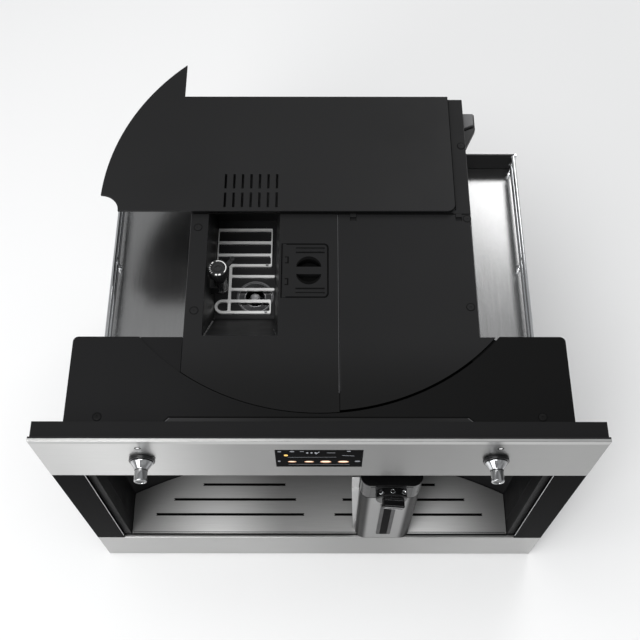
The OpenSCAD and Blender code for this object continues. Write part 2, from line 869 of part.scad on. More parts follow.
module housing_outline() {
    round_rect(-housing_half_w, housing_half_w, frame_y1, housing_y1 + housing_lip,
        housing_corner);
    translate([-housing_half_w, frame_y1]) square([2 * housing_half_w, housing_corner]);
}

module arc_disc(r) {
    translate([0, arc_y]) circle(r = r, $fn = 180);
}

module housing_top() {
    color("#262628") place() {
        slab(deck_under, deck_z) difference() {
            housing_outline();
            arc_disc(arc_r);
        }
        slab(deck_under, deck_z - arc_step) intersection() {
            arc_disc(arc_r + sheet);
            translate([-arc_half_w, frame_y1])
                square([arc_half_w + core_x0 - seam, housing_y1 + housing_lip - frame_y1]);
        }
        slab(deck_z, deck_z + ledge_h)
            polygon([[-ledge_half_w, frame_y1], [ledge_half_w, frame_y1],
                [ledge_half_w - ledge_chamfer, frame_y1 + ledge_d],
                [-ledge_half_w + ledge_chamfer, frame_y1 + ledge_d]]);
    }
}

// The space of the bay in plan, grown by the given distance
module bay_plan(grow, y0) {
    intersection() {
        translate([0, bay_y]) circle(r = bay_r + grow, $fn = 360);
        translate([-bay_half_w - grow, y0]) square([2 * (bay_half_w + grow), bay_d + grow - y0]);
    }
}

module bay_liner() {
    color("#141416") place() {
        slab(strip_h, bay_top) difference() {
            bay_plan(sheet, frame_y1);
            bay_plan(0, frame_y1 - cut);
        }
        block(-column_half_w, column_half_w, column_y, bay_d, column_z0, bay_top);
    }
}

module spout_head() {
    nozzle_y = (spout_y0 + column_y) / 2;
    color("#1c1c1e") place() {
        difference() {
            block(-spout_half_w, spout_half_w, spout_y0, column_y - fit_gap, spout_z0,
                spout_z0 + spout_h);
            both_sides() pillar(nozzle_x, nozzle_y, spout_z0 - cut, spout_z0 + spout_h / 2,
                nozzle_bore_r);
        }
        both_sides() difference() {
            pillar(nozzle_x, nozzle_y, spout_z0 - nozzle_l, spout_z0, nozzle_r);
            pillar(nozzle_x, nozzle_y, spout_z0 - nozzle_l - cut, spout_z0 + cut, nozzle_bore_r);
        }
    }
}

// Core

// The pipe that feeds the spout passes through the front wall of the core
pipe_r = 3.2;
feed_z = chamber_z0 + chamber_r;

bracket_x = 192;
bracket_y0 = 384;
bracket_y1 = 443;
bracket_step = 23;
bracket_drop = 26;

module core_casing() {
    color("#2a2a2c") place() {
        slab(deck_z - bracket_drop, deck_z - bracket_drop + 2 * deck_t)
            polygon([[core_x1, bracket_y0], [core_x1, bracket_y1], [bracket_x, bracket_y1],
                [bracket_x, bracket_y1 - bracket_step]]);
        block(core_x0, core_x0 + sheet, core_y0, panel_y1, pan_top, deck_under);
        block(core_x1 - sheet, core_x1, core_y0, panel_y1, pan_top, deck_under - sheet);
        difference() {
            block(core_x0 + sheet, core_x1 - sheet, core_y0, core_y0 + sheet,
                strip_h + seam, subdeck_z);
            rod_y(brew_x, core_y0 - cut, core_y0 + sheet + cut, feed_z, pipe_r + fit_gap);
        }
    }
}

module core_deck() {
    color("#303033") place() difference() {
        slab(deck_under, deck_z) difference() {
            union() {
                intersection() {
                    arc_disc(arc_r - arc_seam);
                    translate([core_x0, 0]) square([tank_lid_x0 - seam - core_x0, cover_y0]);
                }
                translate([core_x0, cover_y0]) square([core_x1 - core_x0, body_y1 - cover_y0]);
            }
            translate([hopper_x0, hopper_y0]) square([hopper_w, hopper_l]);
            round_rect(lid_x0 - lid_gap, lid_x1 + lid_gap, lid_y0 - lid_gap, lid_y1 + lid_gap,
                lid_corner + lid_gap);
            translate([lid_x0 - lid_gap, lid_y0 - lid_gap])
                square([lid_corner + lid_gap, lid_l + 2 * lid_gap]);
        }
        rod_y(lid_hinge_x, lid_y0 - pin_l - cut, lid_y1 + pin_l + cut, hinge_z, pin_r + running);
    }
}

module rear_outline() {
    difference() {
        intersection() {
            translate([wing_x, wing_y]) circle(r = wing_r, $fn = 180);
            translate([-arc_r, cover_y0]) square([arc_r - wing_tip_x, wing_r]);
        }
        translate([wing_x - wing_r, cover_y0]) circle(r = cover_x0 - wing_x + wing_r);
    }
    translate([-wing_tip_x, cover_y0]) difference() {
        square([cover_x1 + wing_tip_x, body_y1 - cover_y0]);
        translate([cover_x1 + wing_tip_x - cover_corner, 0]) difference() {
            translate([0, -cut]) square([cover_corner + cut, cover_corner + cut]);
            translate([0, cover_corner]) circle(r = cover_corner);
        }
    }
}

module rear_cover() {
    rail_z0 = deck_z;
    rail_z1 = deck_z + cover_gap;
    color("#303033") place() {
        difference() {
            slab(rail_z1, rail_z1 + cover_t) rear_outline();
            for (i = [0 : vent_n - 1], row = [0 : 1])
                block(vent_x0 + i * vent_pitch - vent_w / 2, vent_x0 + i * vent_pitch + vent_w / 2,
                    cover_y0 + vent_setback + row * (vent_l + vent_row_gap),
                    cover_y0 + vent_setback + row * (vent_l + vent_row_gap) + vent_l,
                    rail_z1 - cut, rail_z1 + cover_t + cut);
        }
        for (x = [core_x0 + cover_rail, cover_x1 - 3 * cover_rail])
            block(x, x + cover_rail, cover_y0 + 2 * cover_rail, body_y1 - 2 * cover_rail,
                rail_z0, rail_z1);
        block(core_x0 + 2 * cover_rail, cover_x1 - 3 * cover_rail, body_y1 - 3 * cover_rail,
            body_y1 - 2 * cover_rail, rail_z0, rail_z1);
    }
}

// Bean hopper and grinder

pointer_turn = 52;

module hopper_bin() {
    color("#2c2c2e") place() {
        difference() {
            funnel(hopper_fx0 - hopper_wall, hopper_fx1 + hopper_wall, hopper_fy0 - hopper_wall,
                hopper_fy1 + hopper_wall, hopper_z0, hopper_x0 - hopper_wall,
                hopper_x1 + hopper_wall, hopper_y0 - hopper_wall, hopper_y1 + hopper_wall,
                deck_under);
            funnel(hopper_fx0, hopper_fx1, hopper_fy0, hopper_fy1, hopper_floor,
                hopper_x0, hopper_x1, hopper_y0, hopper_y1, deck_under + seam);
            pillar(grinder_x, grinder_y, hopper_z0 - cut, hopper_floor + cut,
                burr_r + hopper_wall);
        }
        difference() {
            union() {
                pillar(dial_x, dial_y, post_z0, post_z1, post_r);
                block(hopper_x0 - hopper_wall / 2, dial_x, dial_y - post_r, dial_y + post_r, post_z0,
                    post_z0 + post_bracket_h);
                translate([dial_x, dial_y, post_z1 - pointer_t]) rotate([0, 0, pointer_turn])
                    block(0, pointer_l, -pointer_w / 2, pointer_w / 2, 0, pointer_t);
            }
            pillar(dial_x, dial_y, post_z0 + post_bracket_h, post_z1 + cut, shaft_r + running);
        }
    }
}

module grind_dial() {
    color("#151517") place() {
        pillar(dial_x, dial_y, dial_z0, dial_z1, dial_r);
        pillar(dial_x, dial_y, post_z0 + post_bracket_h + fit_gap, dial_z0, shaft_r);
    }
}

// Shares of the length and the width of the hopper floor at which the guard's bars lie
upper_bar_shares = [0.52, 0.628, 0.757, 0.89];
lower_bar_shares = [0.052, 0.163, 0.278, 0.408];
upright_share = 0.22;

module guard_bar_x(x0, x1, y) {
    block(x0, x1, y - guard_bar / 2, y + guard_bar / 2, guard_z0, guard_z0 + guard_t);
}

module bean_guard() {
    length = hopper_fy1 - hopper_fy0;
    left = hopper_fx0 + fit_gap;
    right = hopper_fx1 - guard_bar;
    upright_x = hopper_fx0 + (hopper_fx1 - hopper_fx0) * upright_share;
    upper = [for (s = upper_bar_shares) hopper_fy0 + s * length];
    lower = [for (s = lower_bar_shares) hopper_fy0 + s * length];
    loop_r = (lower[1] - lower[0]) / 2;
    loop_y = (lower[0] + lower[1]) / 2;
    loop_x = left + loop_r + guard_bar / 2;
    color("gainsboro") place() {
        for (y = upper) guard_bar_x(left, right, y);
        for (x = [left, right - guard_bar / 2])
            block(x, x + guard_bar / 2, upper[0], upper[3], guard_z0, guard_z0 + guard_t);
        guard_bar_x(upright_x, hopper_fx1 - fit_gap, lower[3]);
        guard_bar_x(upright_x + guard_bar, hopper_fx1 - fit_gap, lower[2]);
        block(upright_x, upright_x + guard_bar, lower[0], upper[0], guard_z0, guard_z0 + guard_t);
        guard_bar_x(loop_x, right, lower[0]);
        guard_bar_x(loop_x, right, lower[1]);
        block(right - guard_bar / 2, right, lower[0], lower[1], guard_z0, guard_z0 + guard_t);
        slab(guard_z0, guard_z0 + guard_t) difference() {
            translate([loop_x, loop_y]) circle(r = loop_r + guard_bar / 2);
            translate([loop_x, loop_y]) circle(r = loop_r - guard_bar / 2);
            translate([loop_x, loop_y - 2 * loop_r]) square([2 * loop_r, 4 * loop_r]);
        }
    }
}

// The grinder housing has a floor below the lower burr and a side outlet for the grounds
grinder_floor = 6;
outlet_r = 4;
outlet_mid_z = grinder_z0 + grinder_floor + 2 * outlet_r;

module grinder_housing() {
    outlet_z = cone_burr_z0 - grinder_floor / 2;
    color("#3a3a3d") place() difference() {
        union() {
            pillar(grinder_x, grinder_y, grinder_z0, grinder_z1, grinder_r);
            block(grinder_x, brew_x - throat / 2 - 2 * chute_wall, brew_y - throat / 4,
                brew_y + throat / 4, grinder_z0, outlet_z);
        }
        pillar(grinder_x, grinder_y, burr_z0 - fit_gap, grinder_z1 + cut, burr_r + fit_gap);
        pillar(grinder_x, grinder_y, grinder_z0 + grinder_floor, burr_z0, cone_burr_r + seam);
        pillar(grinder_x, grinder_y, grinder_z0 - cut, grinder_z1, shaft_r + running);
        rod_x(grinder_x, brew_x, brew_y, outlet_mid_z, outlet_r);
    }
}

module upper_burr() {
    color("lightgray") place() difference() {
        pillar(grinder_x, grinder_y, burr_z0, burr_z1, burr_r);
        pillar(grinder_x, grinder_y, burr_z0 - cut, burr_z1 + cut, burr_eye_r);
    }
}

module lower_burr() {
    color("gray") place() translate([grinder_x, grinder_y, 0]) rotate_extrude()
        polygon([[0, motor_z1 - encoder_s], [shaft_r, motor_z1 - encoder_s],
            [shaft_r, cone_burr_z0], [cone_burr_r, cone_burr_z0],
            [cone_burr_r, burr_z0 - seam], [burr_eye_r - seam, burr_z0 - seam],
            [burr_eye_r / 2, burr_z1 - seam], [0, burr_z1 - seam]]);
}

module grinder_motor() {
    color("silver") place() difference() {
        pillar(grinder_x, grinder_y, motor_z0, motor_z1, motor_r);
        pillar(grinder_x, grinder_y, motor_z1 - encoder_s - seam, motor_z1 + cut,
            shaft_r + running);
    }
}

// Ground coffee lid, chute and brew unit

module ground_chute() {
    half = throat / 2;
    mouth = [lid_x0 + deck_t, lid_x1 - lid_gap, lid_y0 + 2 * lid_gap, lid_y1 - 2 * lid_gap];
    bottom = chamber_z1 + fit_gap;
    color("#2c2c2e") place() difference() {
        union() {
            funnel(brew_x - half - chute_wall, brew_x + half + chute_wall,
                brew_y - half - chute_wall, brew_y + half + chute_wall, throat_z,
                mouth[0] - chute_wall, mouth[1] + chute_wall, mouth[2] - chute_wall,
                mouth[3] + chute_wall, deck_under);
            block(brew_x - half - chute_wall, brew_x + half + chute_wall,
                brew_y - half - chute_wall, brew_y + half + chute_wall, bottom, throat_z);
        }
        funnel(brew_x - half, brew_x + half, brew_y - half, brew_y + half, throat_z,
            mouth[0], mouth[1], mouth[2], mouth[3], deck_under + seam);
        block(brew_x - half, brew_x + half, brew_y - half, brew_y + half, bottom - cut,
            throat_z + seam);
        rod_x(grinder_x, brew_x, brew_y, outlet_mid_z, outlet_r);
    }
}

module ground_lid() {
    cup_z = deck_z - cup_d;
    color("#303033") place() {
        difference() {
            union() {
                slab(deck_under, deck_z) {
                    round_rect(lid_hinge_x, lid_x1, lid_y0, lid_y1, lid_corner);
                    translate([lid_hinge_x, lid_y0]) square([lid_corner, lid_l]);
                }
                rod_y(lid_hinge_x, lid_y0, lid_y1, hinge_z, deck_t / 2);
                pillar(cup_x, lid_mid_y, cup_z - sheet, deck_z, cup_r + sheet);
            }
            difference() {
                pillar(cup_x, lid_mid_y, cup_z, deck_z + cut, cup_r);
                block(cup_x - cup_r, cup_x + cup_r, lid_mid_y - cup_bar / 2,
                    lid_mid_y + cup_bar / 2, cup_z - cut, deck_z);
            }
        }
        rod_y(lid_hinge_x, lid_y0 - pin_l, lid_y1 + pin_l, hinge_z, pin_r);
        for (y = [lid_y0 + lid_corner, lid_y0 + 2 * lid_corner - rib_w,
                lid_y1 - lid_corner - rib_w, lid_y1 - 2 * lid_corner])
            block(cup_x - cup_r, lid_x1 - lid_corner, y, y + rib_w, deck_z, deck_z + rib_h);
    }
}

module brew_frame() {
    side = chamber_r + chamber_wall;
    color("#6a6a6c") place() difference() {
        union() {
            block(brew_x - side, brew_x + side, brew_y - side, brew_y + side, chamber_z0,
                chamber_z1);
            for (x = [brew_x - side, brew_x + side - bench_t])
                block(x, x + bench_t, brew_y - side, brew_y + side, bench_z, chamber_z0);
            block(brew_x - side, brew_x + side, brew_y - chamber_wall, brew_y + chamber_wall,
                chamber_z0 - piston_stroke, chamber_z0 - piston_stroke + bench_t);
            block(-bench_half_w, bench_half_w, brew_y - side, brew_y + side, bench_z,
                bench_z + bench_t);
            both_sides() block(bench_half_w - bench_t, bench_half_w, brew_y - side, brew_y + side,
                pan_top, bench_z);
        }
        pillar(brew_x, brew_y, chamber_z0 - cut, chamber_z1 + cut, chamber_r);
        pillar(brew_x, brew_y, bench_z - cut, chamber_z0, rod_r + running);
    }
}

module brew_piston() {
    piston_z0 = chamber_z0 + piston_t;
    color("gainsboro") place() {
        pillar(brew_x, brew_y, piston_z0, piston_z0 + piston_t, chamber_r - running);
        pillar(brew_x, brew_y, chamber_z0 - 2 * piston_stroke - bench_t / 2, piston_z0, rod_r);
    }
}

// Water tank and its lid

module tank_cradle() {
    x0 = tank_x0 - 2 * sheet;
    y0 = tank_y0 - 2 * sheet;
    y1 = tank_y1 + 2 * sheet;
    x1 = core_x1 - sheet;
    color("#2c2c2e") place() difference() {
        block(x0, x1, y0, y1, cradle_z0, cradle_z1 + cradle_rim);
        block(x0 + sheet, x1 - sheet, y0 + sheet, y1 - sheet, cradle_z1,
            cradle_z1 + cradle_rim + cut);
        pillar(tank_mid_x, tank_mid_y, cradle_z0 - cut, cradle_z1 + cut, valve_r + running);
    }
}

module water_tank() {
    color("#9fb4bc") place() {
        difference() {
            block(tank_x0, tank_x1, tank_y0, tank_y1, tank_z0, tank_z1);
            block(tank_x0 + tank_wall, tank_x1 - tank_wall, tank_y0 + tank_wall,
                tank_y1 - tank_wall, tank_z0 + tank_wall, tank_z1 + cut);
        }
        pillar(tank_mid_x, tank_mid_y, tank_z0 - valve_l, tank_z0, valve_r);
        for (x = [tank_x0 + lug_inset, tank_x1 - lug_inset - lug_w]) difference() {
            union() {
                block(x, x + lug_w, tank_y1 - tank_wall, tank_lid_y1, tank_z1 - 3 * tank_wall,
                    hinge_z);
                rod_x(x, x + lug_w, tank_hinge_y, hinge_z, hinge_edge);
            }
            rod_x(x - cut, x + lug_w + cut, tank_hinge_y, hinge_z, pin_r + running);
        }
    }
}

// Two pads on the lid rest on the rim of the tank
pad_r = 4;
pad_inset = 20;

module tank_lid() {
    lugs = [tank_x0 + lug_inset, tank_x1 - lug_inset - lug_w];
    color("#303033") place() {
        difference() {
            slab(deck_under, deck_z) intersection() {
                arc_disc(arc_r - finger_seam);
                union() {
                    translate([tank_lid_x0, 0]) square([tank_lid_x1 - tank_lid_x0, tank_lid_y1]);
                    translate([tank_lid_x0, 0])
                        square([arc_r - tank_lid_x0, housing_y1 + housing_lip - seam]);
                }
            }
            for (x = lugs)
                block(x - seam, x + lug_w + seam, tank_y1 - tank_wall - seam, tank_lid_y1 + cut,
                    deck_under - cut, deck_z + cut);
        }
        rod_x(lugs[0] - pin_l, lugs[0] + lug_w + pin_l, tank_hinge_y, hinge_z, pin_r);
        rod_x(lugs[1] - pin_l, lugs[1] + lug_w + pin_l, tank_hinge_y, hinge_z, pin_r);
        for (x = [tank_x0 + pad_inset, tank_x1 - pad_inset])
            pillar(x, tank_y0 + tank_wall, tank_z1 + fit_gap, deck_under, pad_r);
    }
}

// Boiler, pump and pipes

boiler_x = -90;
boiler_inset = 50;
boiler_r = 34;
boiler_z0 = 170;
boiler_h = 120;
pump_x0 = -40;
pump_l = 100;
pump_r = 22;
pump_z = 45;
boiler_y = panel_y1 - boiler_inset;

module boiler() {
    color("#b87333") place() {
        pillar(boiler_x, boiler_y, boiler_z0, boiler_z0 + boiler_h, boiler_r);
        block(boiler_x - boiler_r / 3, boiler_x + boiler_r / 3, boiler_y, panel_y1,
            boiler_z0 + boiler_r, boiler_z0 + boiler_h - boiler_r);
    }
}

module pump() {
    color("#8a8a8c") place() {
        rod_x(pump_x0, pump_x0 + pump_l, boiler_y, pump_z, pump_r);
        block(pump_x0 + pump_l / 4, pump_x0 + 3 * pump_l / 4, boiler_y - pump_r / 2,
            boiler_y + pump_r / 2, pan_top, pump_z);
    }
}

// A pipe through a list of corners
module pipe(points) {
    for (i = [0 : len(points) - 2]) {
        step = points[i + 1] - points[i];
        reach = norm(step);
        translate(points[i])
            rotate([0, acos(step[2] / reach), atan2(step[1], step[0])])
                cylinder(h = reach, r = pipe_r);
    }
    for (i = [1 : len(points) - 2]) translate(points[i]) sphere(r = pipe_r);
}

module water_pipes() {
    pump_x1 = pump_x0 + pump_l + fit_gap;
    bend_x = pump_x1 + pump_r;
    tank_pipe_z = tank_z0 - valve_l - fit_gap;
    low_z = bench_z + boiler_inset;
    high_z = boiler_z0 + boiler_h + pump_r;
    chamber_back = brew_y + chamber_r + chamber_wall + fit_gap;
    chamber_front = brew_y - chamber_r - chamber_wall - fit_gap;
    inlet_z = chamber_z1 - pump_r;
    color("#c9c9c4") place() {
        pipe([[tank_mid_x, tank_mid_y, tank_pipe_z], [tank_mid_x, tank_mid_y, low_z],
            [tank_mid_x, boiler_y, low_z], [tank_mid_x, boiler_y, pump_z],
            [pump_x1, boiler_y, pump_z]]);
        pipe([[pump_x0 - fit_gap, boiler_y, pump_z], [boiler_x, boiler_y, pump_z],
            [boiler_x, boiler_y, boiler_z0 - fit_gap]]);
        pipe([[boiler_x, boiler_y, boiler_z0 + boiler_h + fit_gap], [boiler_x, boiler_y, high_z],
            [brew_x, boiler_y, high_z], [brew_x, boiler_y, inlet_z],
            [brew_x, chamber_back, inlet_z]]);
        pipe([[brew_x, chamber_front, feed_z], [brew_x, bay_d + sheet + fit_gap, feed_z]]);
    }
}

// Side shelves

module shelf(inner) {
    wall_y1 = body_y1 - shelf_wall_inset;
    block(inner, body_half_w, core_y0, body_y1, shelf_under, shelf_z);
    block(inner, body_half_w, wall_y1 - sheet, wall_y1, shelf_z, shelf_z + shelf_wall_h);
}

// Two chrome rods on upright posts along the outer edge of a shelf
module rail() {
    y0 = core_y0 + 2 * rail_r;
    y1 = body_y1 - shelf_wall_inset - sheet - 2 * rail_r;
    for (z = [rail_low, rail_high]) rod_y(rail_x, y0, y1, shelf_z + z, rail_r);
    for (s = [0 : 2]) {
        y = y0 + rail_r + s * (y1 - y0 - 2 * rail_r) / 2;
        pillar(rail_x, y, shelf_z, shelf_z + rail_high, rail_post_r);
    }
}

module shelf_left() { color("#b9bcc0") place() mirror([1, 0, 0]) shelf(-core_x0); }
module shelf_right() { color("#b9bcc0") place() shelf(core_x1); }
module rail_left() { color("gainsboro") place() mirror([1, 0, 0]) rail(); }
module rail_right() { color("gainsboro") place() rail(); }

// Drip tray drawer

module tray_front() {
    color("#c8c8c6") place() block(-half_w, half_w, 0, face_t, 0, strip_h);
}

// An open box with the given wall
module open_box(x0, x1, y0, y1, z0, z1, wall) {
    difference() {
        block(x0, x1, y0, y1, z0, z1);
        block(x0 + wall, x1 - wall, y0 + wall, y1 - wall, z0 + wall, z1 + cut);
    }
}

module tray_basin() {
    color("#1a1a1c") place()
        open_box(-basin_half_w, basin_half_w, face_t, basin_y1, basin_z0, basin_z1, basin_wall);
}

module grounds_bin() {
    color("#1a1a1c") place()
        open_box(-bin_half_w, bin_half_w, basin_y1, bin_y1, basin_z0, basin_z0 + bin_h, basin_wall);
}

// Shares of the bay's depth and half width at which the grille's slots lie
slot_y_shares = [0.268, 0.443, 0.619];
slot_start_shares = [0.083, 0.127, 0.186];
slot_end_shares = [0.875, 0.784, 0.63];

module tray_grille() {
    color("#c8c8c6") place() difference() {
        slab(grille_z0, grille_z1) bay_plan(-grille_gap, face_t + grille_setback);
        for (i = [0 : 2]) both_sides()
            block(slot_start_shares[i] * bay_half_w, slot_end_shares[i] * bay_half_w,
                slot_y_shares[i] * bay_d - slot_w / 2, slot_y_shares[i] * bay_d + slot_w / 2,
                grille_z0 - cut, grille_z1 + cut);
    }
}

// Milk jug

module jug_outline(inset) {
    round_rect(jug_x0 + inset, jug_x1 - inset, jug_y0 + inset, jug_y1 - inset, jug_corner - inset);
}

module jug_body() {
    floor_z = jug_z0 + 2 * jug_wall;
    mid_z = (jug_z0 + jug_z1) / 2;
    color("#b9bcc0") place() {
        difference() {
            slab(jug_z0, jug_z1) jug_outline(0);
            slab(floor_z, jug_z1 + cut) jug_outline(jug_wall);
        }
        block(jug_mid_x - window_w / 2, jug_mid_x + window_w / 2, jug_y0 - window_t, jug_y0,
            mid_z - window_h / 2, mid_z + window_h / 2);
        translate([jug_x0, jug_y0 + jug_corner + handle_d, mid_z]) rotate([90, 0, 0])
            linear_extrude(height = handle_d) polygon([[0, -handle_h / 2],
                [-handle_foot, -handle_h / 2], [-handle_w, handle_h / 2], [0, handle_h / 2]]);
    }
}

// Share of the jug's length at which the milk spout leaves its lid
milk_spout_share = 0.6;

module jug_lid() {
    spout_y = jug_y0 + milk_spout_share * jug_l;
    spout_z = jug_lid_z1 - 4 * milk_r;
    tip_x = jug_x0 - milk_reach + milk_r;
    color("#1c1c1e") place() {
        difference() {
            slab(jug_lid_z0, jug_lid_z1) jug_outline(0);
            rod_y(jug_mid_x, jug_y0 - cut, jug_y0 + jug_corner, froth_z, shaft_r + running);
        }
        slab(jug_lid_z0 - plug_d, jug_lid_z0) jug_outline(jug_wall + seam);
        pillar(jug_x1 - jug_corner, jug_y1 - jug_corner, jug_z0 + jug_corner, jug_lid_z0, tube_r);
        rod_x(tip_x, jug_x0, spout_y, spout_z, milk_r);
        pillar(tip_x, spout_y, spout_z - 3 * milk_r, spout_z, milk_r);
        translate([tip_x, spout_y, spout_z]) sphere(r = milk_r);
    }
}

module froth_dial() {
    front = jug_y0 - fit_gap - froth_t;
    reach = sqrt(pow(froth_r, 2) - pow(froth_grip_w / 2, 2)) - seam;
    color("#1c1c1e") place() {
        rod_y(jug_mid_x, front, jug_y0 - fit_gap, froth_z, froth_r);
        translate([jug_mid_x, 0, froth_z]) rotate([0, froth_tilt, 0])
            block(-reach, reach, front - froth_grip_t, jug_y0 - fit_gap, -froth_grip_w / 2,
                froth_grip_w / 2);
        rod_y(jug_mid_x, jug_y0 - fit_gap, jug_y0 + jug_corner - seam, froth_z, shaft_r);
    }
}

cabinet_base();
runner_outer_left();
runner_outer_right();
runner_mid_left();
runner_mid_right();
runner_inner_left();
runner_inner_right();
base_pan();
side_panel_left();
side_panel_right();
rear_panel();
power_inlet();
power_switch();
front_frame();
fascia_band();
fascia_stiles();
display_glass();
control_board();
knob_bezels();
knob_encoders();
knob_left();
knob_right();
front_housing();
housing_top();
bay_liner();
spout_head();
core_casing();
core_deck();
rear_cover();
hopper_bin();
bean_guard();
grinder_housing();
upper_burr();
lower_burr();
grinder_motor();
grind_dial();
ground_chute();
ground_lid();
brew_frame();
brew_piston();
tank_cradle();
water_tank();
tank_lid();
boiler();
pump();
water_pipes();
shelf_left();
shelf_right();
rail_left();
rail_right();
tray_front();
tray_basin();
tray_grille();
grounds_bin();
jug_body();
jug_lid();
froth_dial();
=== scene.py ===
from math import cos, pi, radians, sin

import bpy
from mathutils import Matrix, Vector


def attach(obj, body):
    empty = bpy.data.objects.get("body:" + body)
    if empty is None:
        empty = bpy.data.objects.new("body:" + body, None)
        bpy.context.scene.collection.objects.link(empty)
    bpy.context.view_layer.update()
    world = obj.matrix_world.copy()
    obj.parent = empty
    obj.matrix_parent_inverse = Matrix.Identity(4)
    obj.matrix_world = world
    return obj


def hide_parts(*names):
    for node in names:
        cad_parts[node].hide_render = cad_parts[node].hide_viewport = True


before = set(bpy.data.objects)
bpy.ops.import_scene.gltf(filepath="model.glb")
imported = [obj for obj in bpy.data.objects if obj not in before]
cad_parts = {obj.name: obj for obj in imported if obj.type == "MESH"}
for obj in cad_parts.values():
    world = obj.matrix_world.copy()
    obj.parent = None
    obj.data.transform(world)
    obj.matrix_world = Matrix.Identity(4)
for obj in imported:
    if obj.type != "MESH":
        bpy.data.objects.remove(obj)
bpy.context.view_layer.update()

# The studio is a pale floor under three soft lamps, seen from high in front of the
# fascia, so that the deck, the hopper and the front of the bay all show.
def preset(node, label, value):
    node.inputs[label].default_value = value


camera_data = bpy.data.cameras.new("studio_camera")
camera_data.lens = 56.53
camera_data.sensor_width = 36.0
camera = bpy.data.objects.new("studio_camera", camera_data)
bpy.context.scene.collection.objects.link(camera)
camera.location = (0.0014, -0.59745, 1.4209)
camera.rotation_euler = (radians(27.17), 0.0, radians(0.07))
bpy.context.scene.camera = camera
bpy.context.scene.view_settings.view_transform = "Standard"

for lamp_name, place, aim, size, power in (
    ("overhead_lamp", (-0.5, -0.5, 2.3), (0.0, 0.0, 0.3), 1.6, 34.0),
    ("front_lamp", (-1.3, -2.0, 1.3), (0.0, -0.2, 0.2), 1.4, 30.0),
    ("rear_lamp", (0.9, 1.7, 2.0), (0.0, 0.1, 0.3), 1.2, 14.0),
):
    lamp_data = bpy.data.lights.new(lamp_name, "AREA")
    lamp_data.shape = "DISK"
    lamp_data.size = size
    lamp_data.energy = power
    lamp = bpy.data.objects.new(lamp_name, lamp_data)
    bpy.context.scene.collection.objects.link(lamp)
    lamp.location = place
    lamp.rotation_euler = (Vector(place) - Vector(aim)).to_track_quat("Z", "Y").to_euler()

world = bpy.data.worlds.new("studio_world")
bpy.context.scene.world = world
world.use_nodes = True
backdrop = world.node_tree.nodes["Background"]
preset(backdrop, "Color", (0.86, 0.87, 0.88, 1))
preset(backdrop, "Strength", 0.55)

floor_material = bpy.data.materials.new("studio_floor")
floor_material.use_nodes = True
floor_shader = floor_material.node_tree.nodes["Principled BSDF"]
preset(floor_shader, "Base Color", (0.8, 0.8, 0.8, 1))
preset(floor_shader, "Roughness", 0.9)
bpy.ops.object.select_all(action="DESELECT")
bpy.ops.mesh.primitive_plane_add(size=14.0, location=(0, 0, -0.0005))
studio_floor = bpy.context.active_object
studio_floor.name = "studio_floor"
studio_floor.data.materials.append(floor_material)


# The floor plate and the outer runners are pressed from zinc coated steel sheet and are
# screwed to the niche. The runners' inner members carry the machine on steel balls.
def link(tree, source, output, target, entry):
    tree.links.new(source.outputs[output], target.inputs[entry])


def new_material(name):
    material = bpy.data.materials.new(name)
    material.use_nodes = True
    return material, material.node_tree, material.node_tree.nodes["Principled BSDF"]


def build_speckle_group():
    group = bpy.data.node_groups.new("surface_variation", "ShaderNodeTree")
    for label, value in (("Scale", 40.0), ("Stretch X", 1.0), ("Stretch Y", 1.0), ("Stretch Z", 1.0),
                         ("Low", 0.0), ("High", 1.0), ("Detail", 4.0)):
        socket = group.interface.new_socket(label, in_out="INPUT", socket_type="NodeSocketFloat")
        socket.default_value = value
    group.interface.new_socket("Value", in_out="OUTPUT", socket_type="NodeSocketFloat")
    nodes = group.nodes
    inside = nodes.new("NodeGroupInput")
    outside = nodes.new("NodeGroupOutput")
    place = nodes.new("ShaderNodeTexCoord")
    stretch = nodes.new("ShaderNodeCombineXYZ")
    multiply = nodes.new("ShaderNodeVectorMath")
    multiply.operation = "MULTIPLY"
    noise = nodes.new("ShaderNodeTexNoise")
    spread = nodes.new("ShaderNodeMapRange")
    preset(spread, "From Min", 0.3)
    preset(spread, "From Max", 0.7)
    for axis in "XYZ":
        link(group, inside, "Stretch " + axis, stretch, axis)
    for source, output, target, entry in (
            (place, "Object", multiply, 0), (stretch, "Vector", multiply, 1), (multiply, "Vector", noise, "Vector"),
            (inside, "Scale", noise, "Scale"), (inside, "Detail", noise, "Detail"), (noise, "Fac", spread, "Value"),
            (inside, "Low", spread, "To Min"), (inside, "High", spread, "To Max"),
            (spread, "Result", outside, "Value")):
        link(group, source, output, target, entry)
    return group


surface_variation = build_speckle_group()
same_point = 0.000004


def vary(tree, scale, low, high, detail=4.0, stretch=(1, 1, 1)):
    node = tree.nodes.new("ShaderNodeGroup")
    node.node_tree = surface_variation
    for axis, share in zip("XYZ", stretch):
        preset(node, "Stretch " + axis, share)
    for label, value in (("Scale", scale), ("Low", low), ("High", high), ("Detail", detail)):
        preset(node, label, value)
    return node.outputs["Value"]


def tone(tree, shader, dark, light, amount, entry="Base Color"):
    mix = tree.nodes.new("ShaderNodeMix")
    mix.data_type = "RGBA"
    preset(mix, "A", (*dark, 1))
    preset(mix, "B", (*light, 1))
    tree.links.new(amount, mix.inputs["Factor"])
    link(tree, mix, "Result", shader, entry)


def bump(tree, shader, height, depth, strength=1.0):
    node = tree.nodes.new("ShaderNodeBump")
    preset(node, "Strength", strength)
    preset(node, "Distance", depth)
    tree.links.new(height, node.inputs["Height"])
    link(tree, node, "Normal", shader, "Normal")


def pick(piece):
    bpy.ops.object.select_all(action="DESELECT")
    piece.select_set(True)
    bpy.context.view_layer.objects.active = piece


def enter(mode):
    bpy.ops.object.mode_set(mode=mode)


def mark(action):
    bpy.ops.mesh.select_all(action=action)


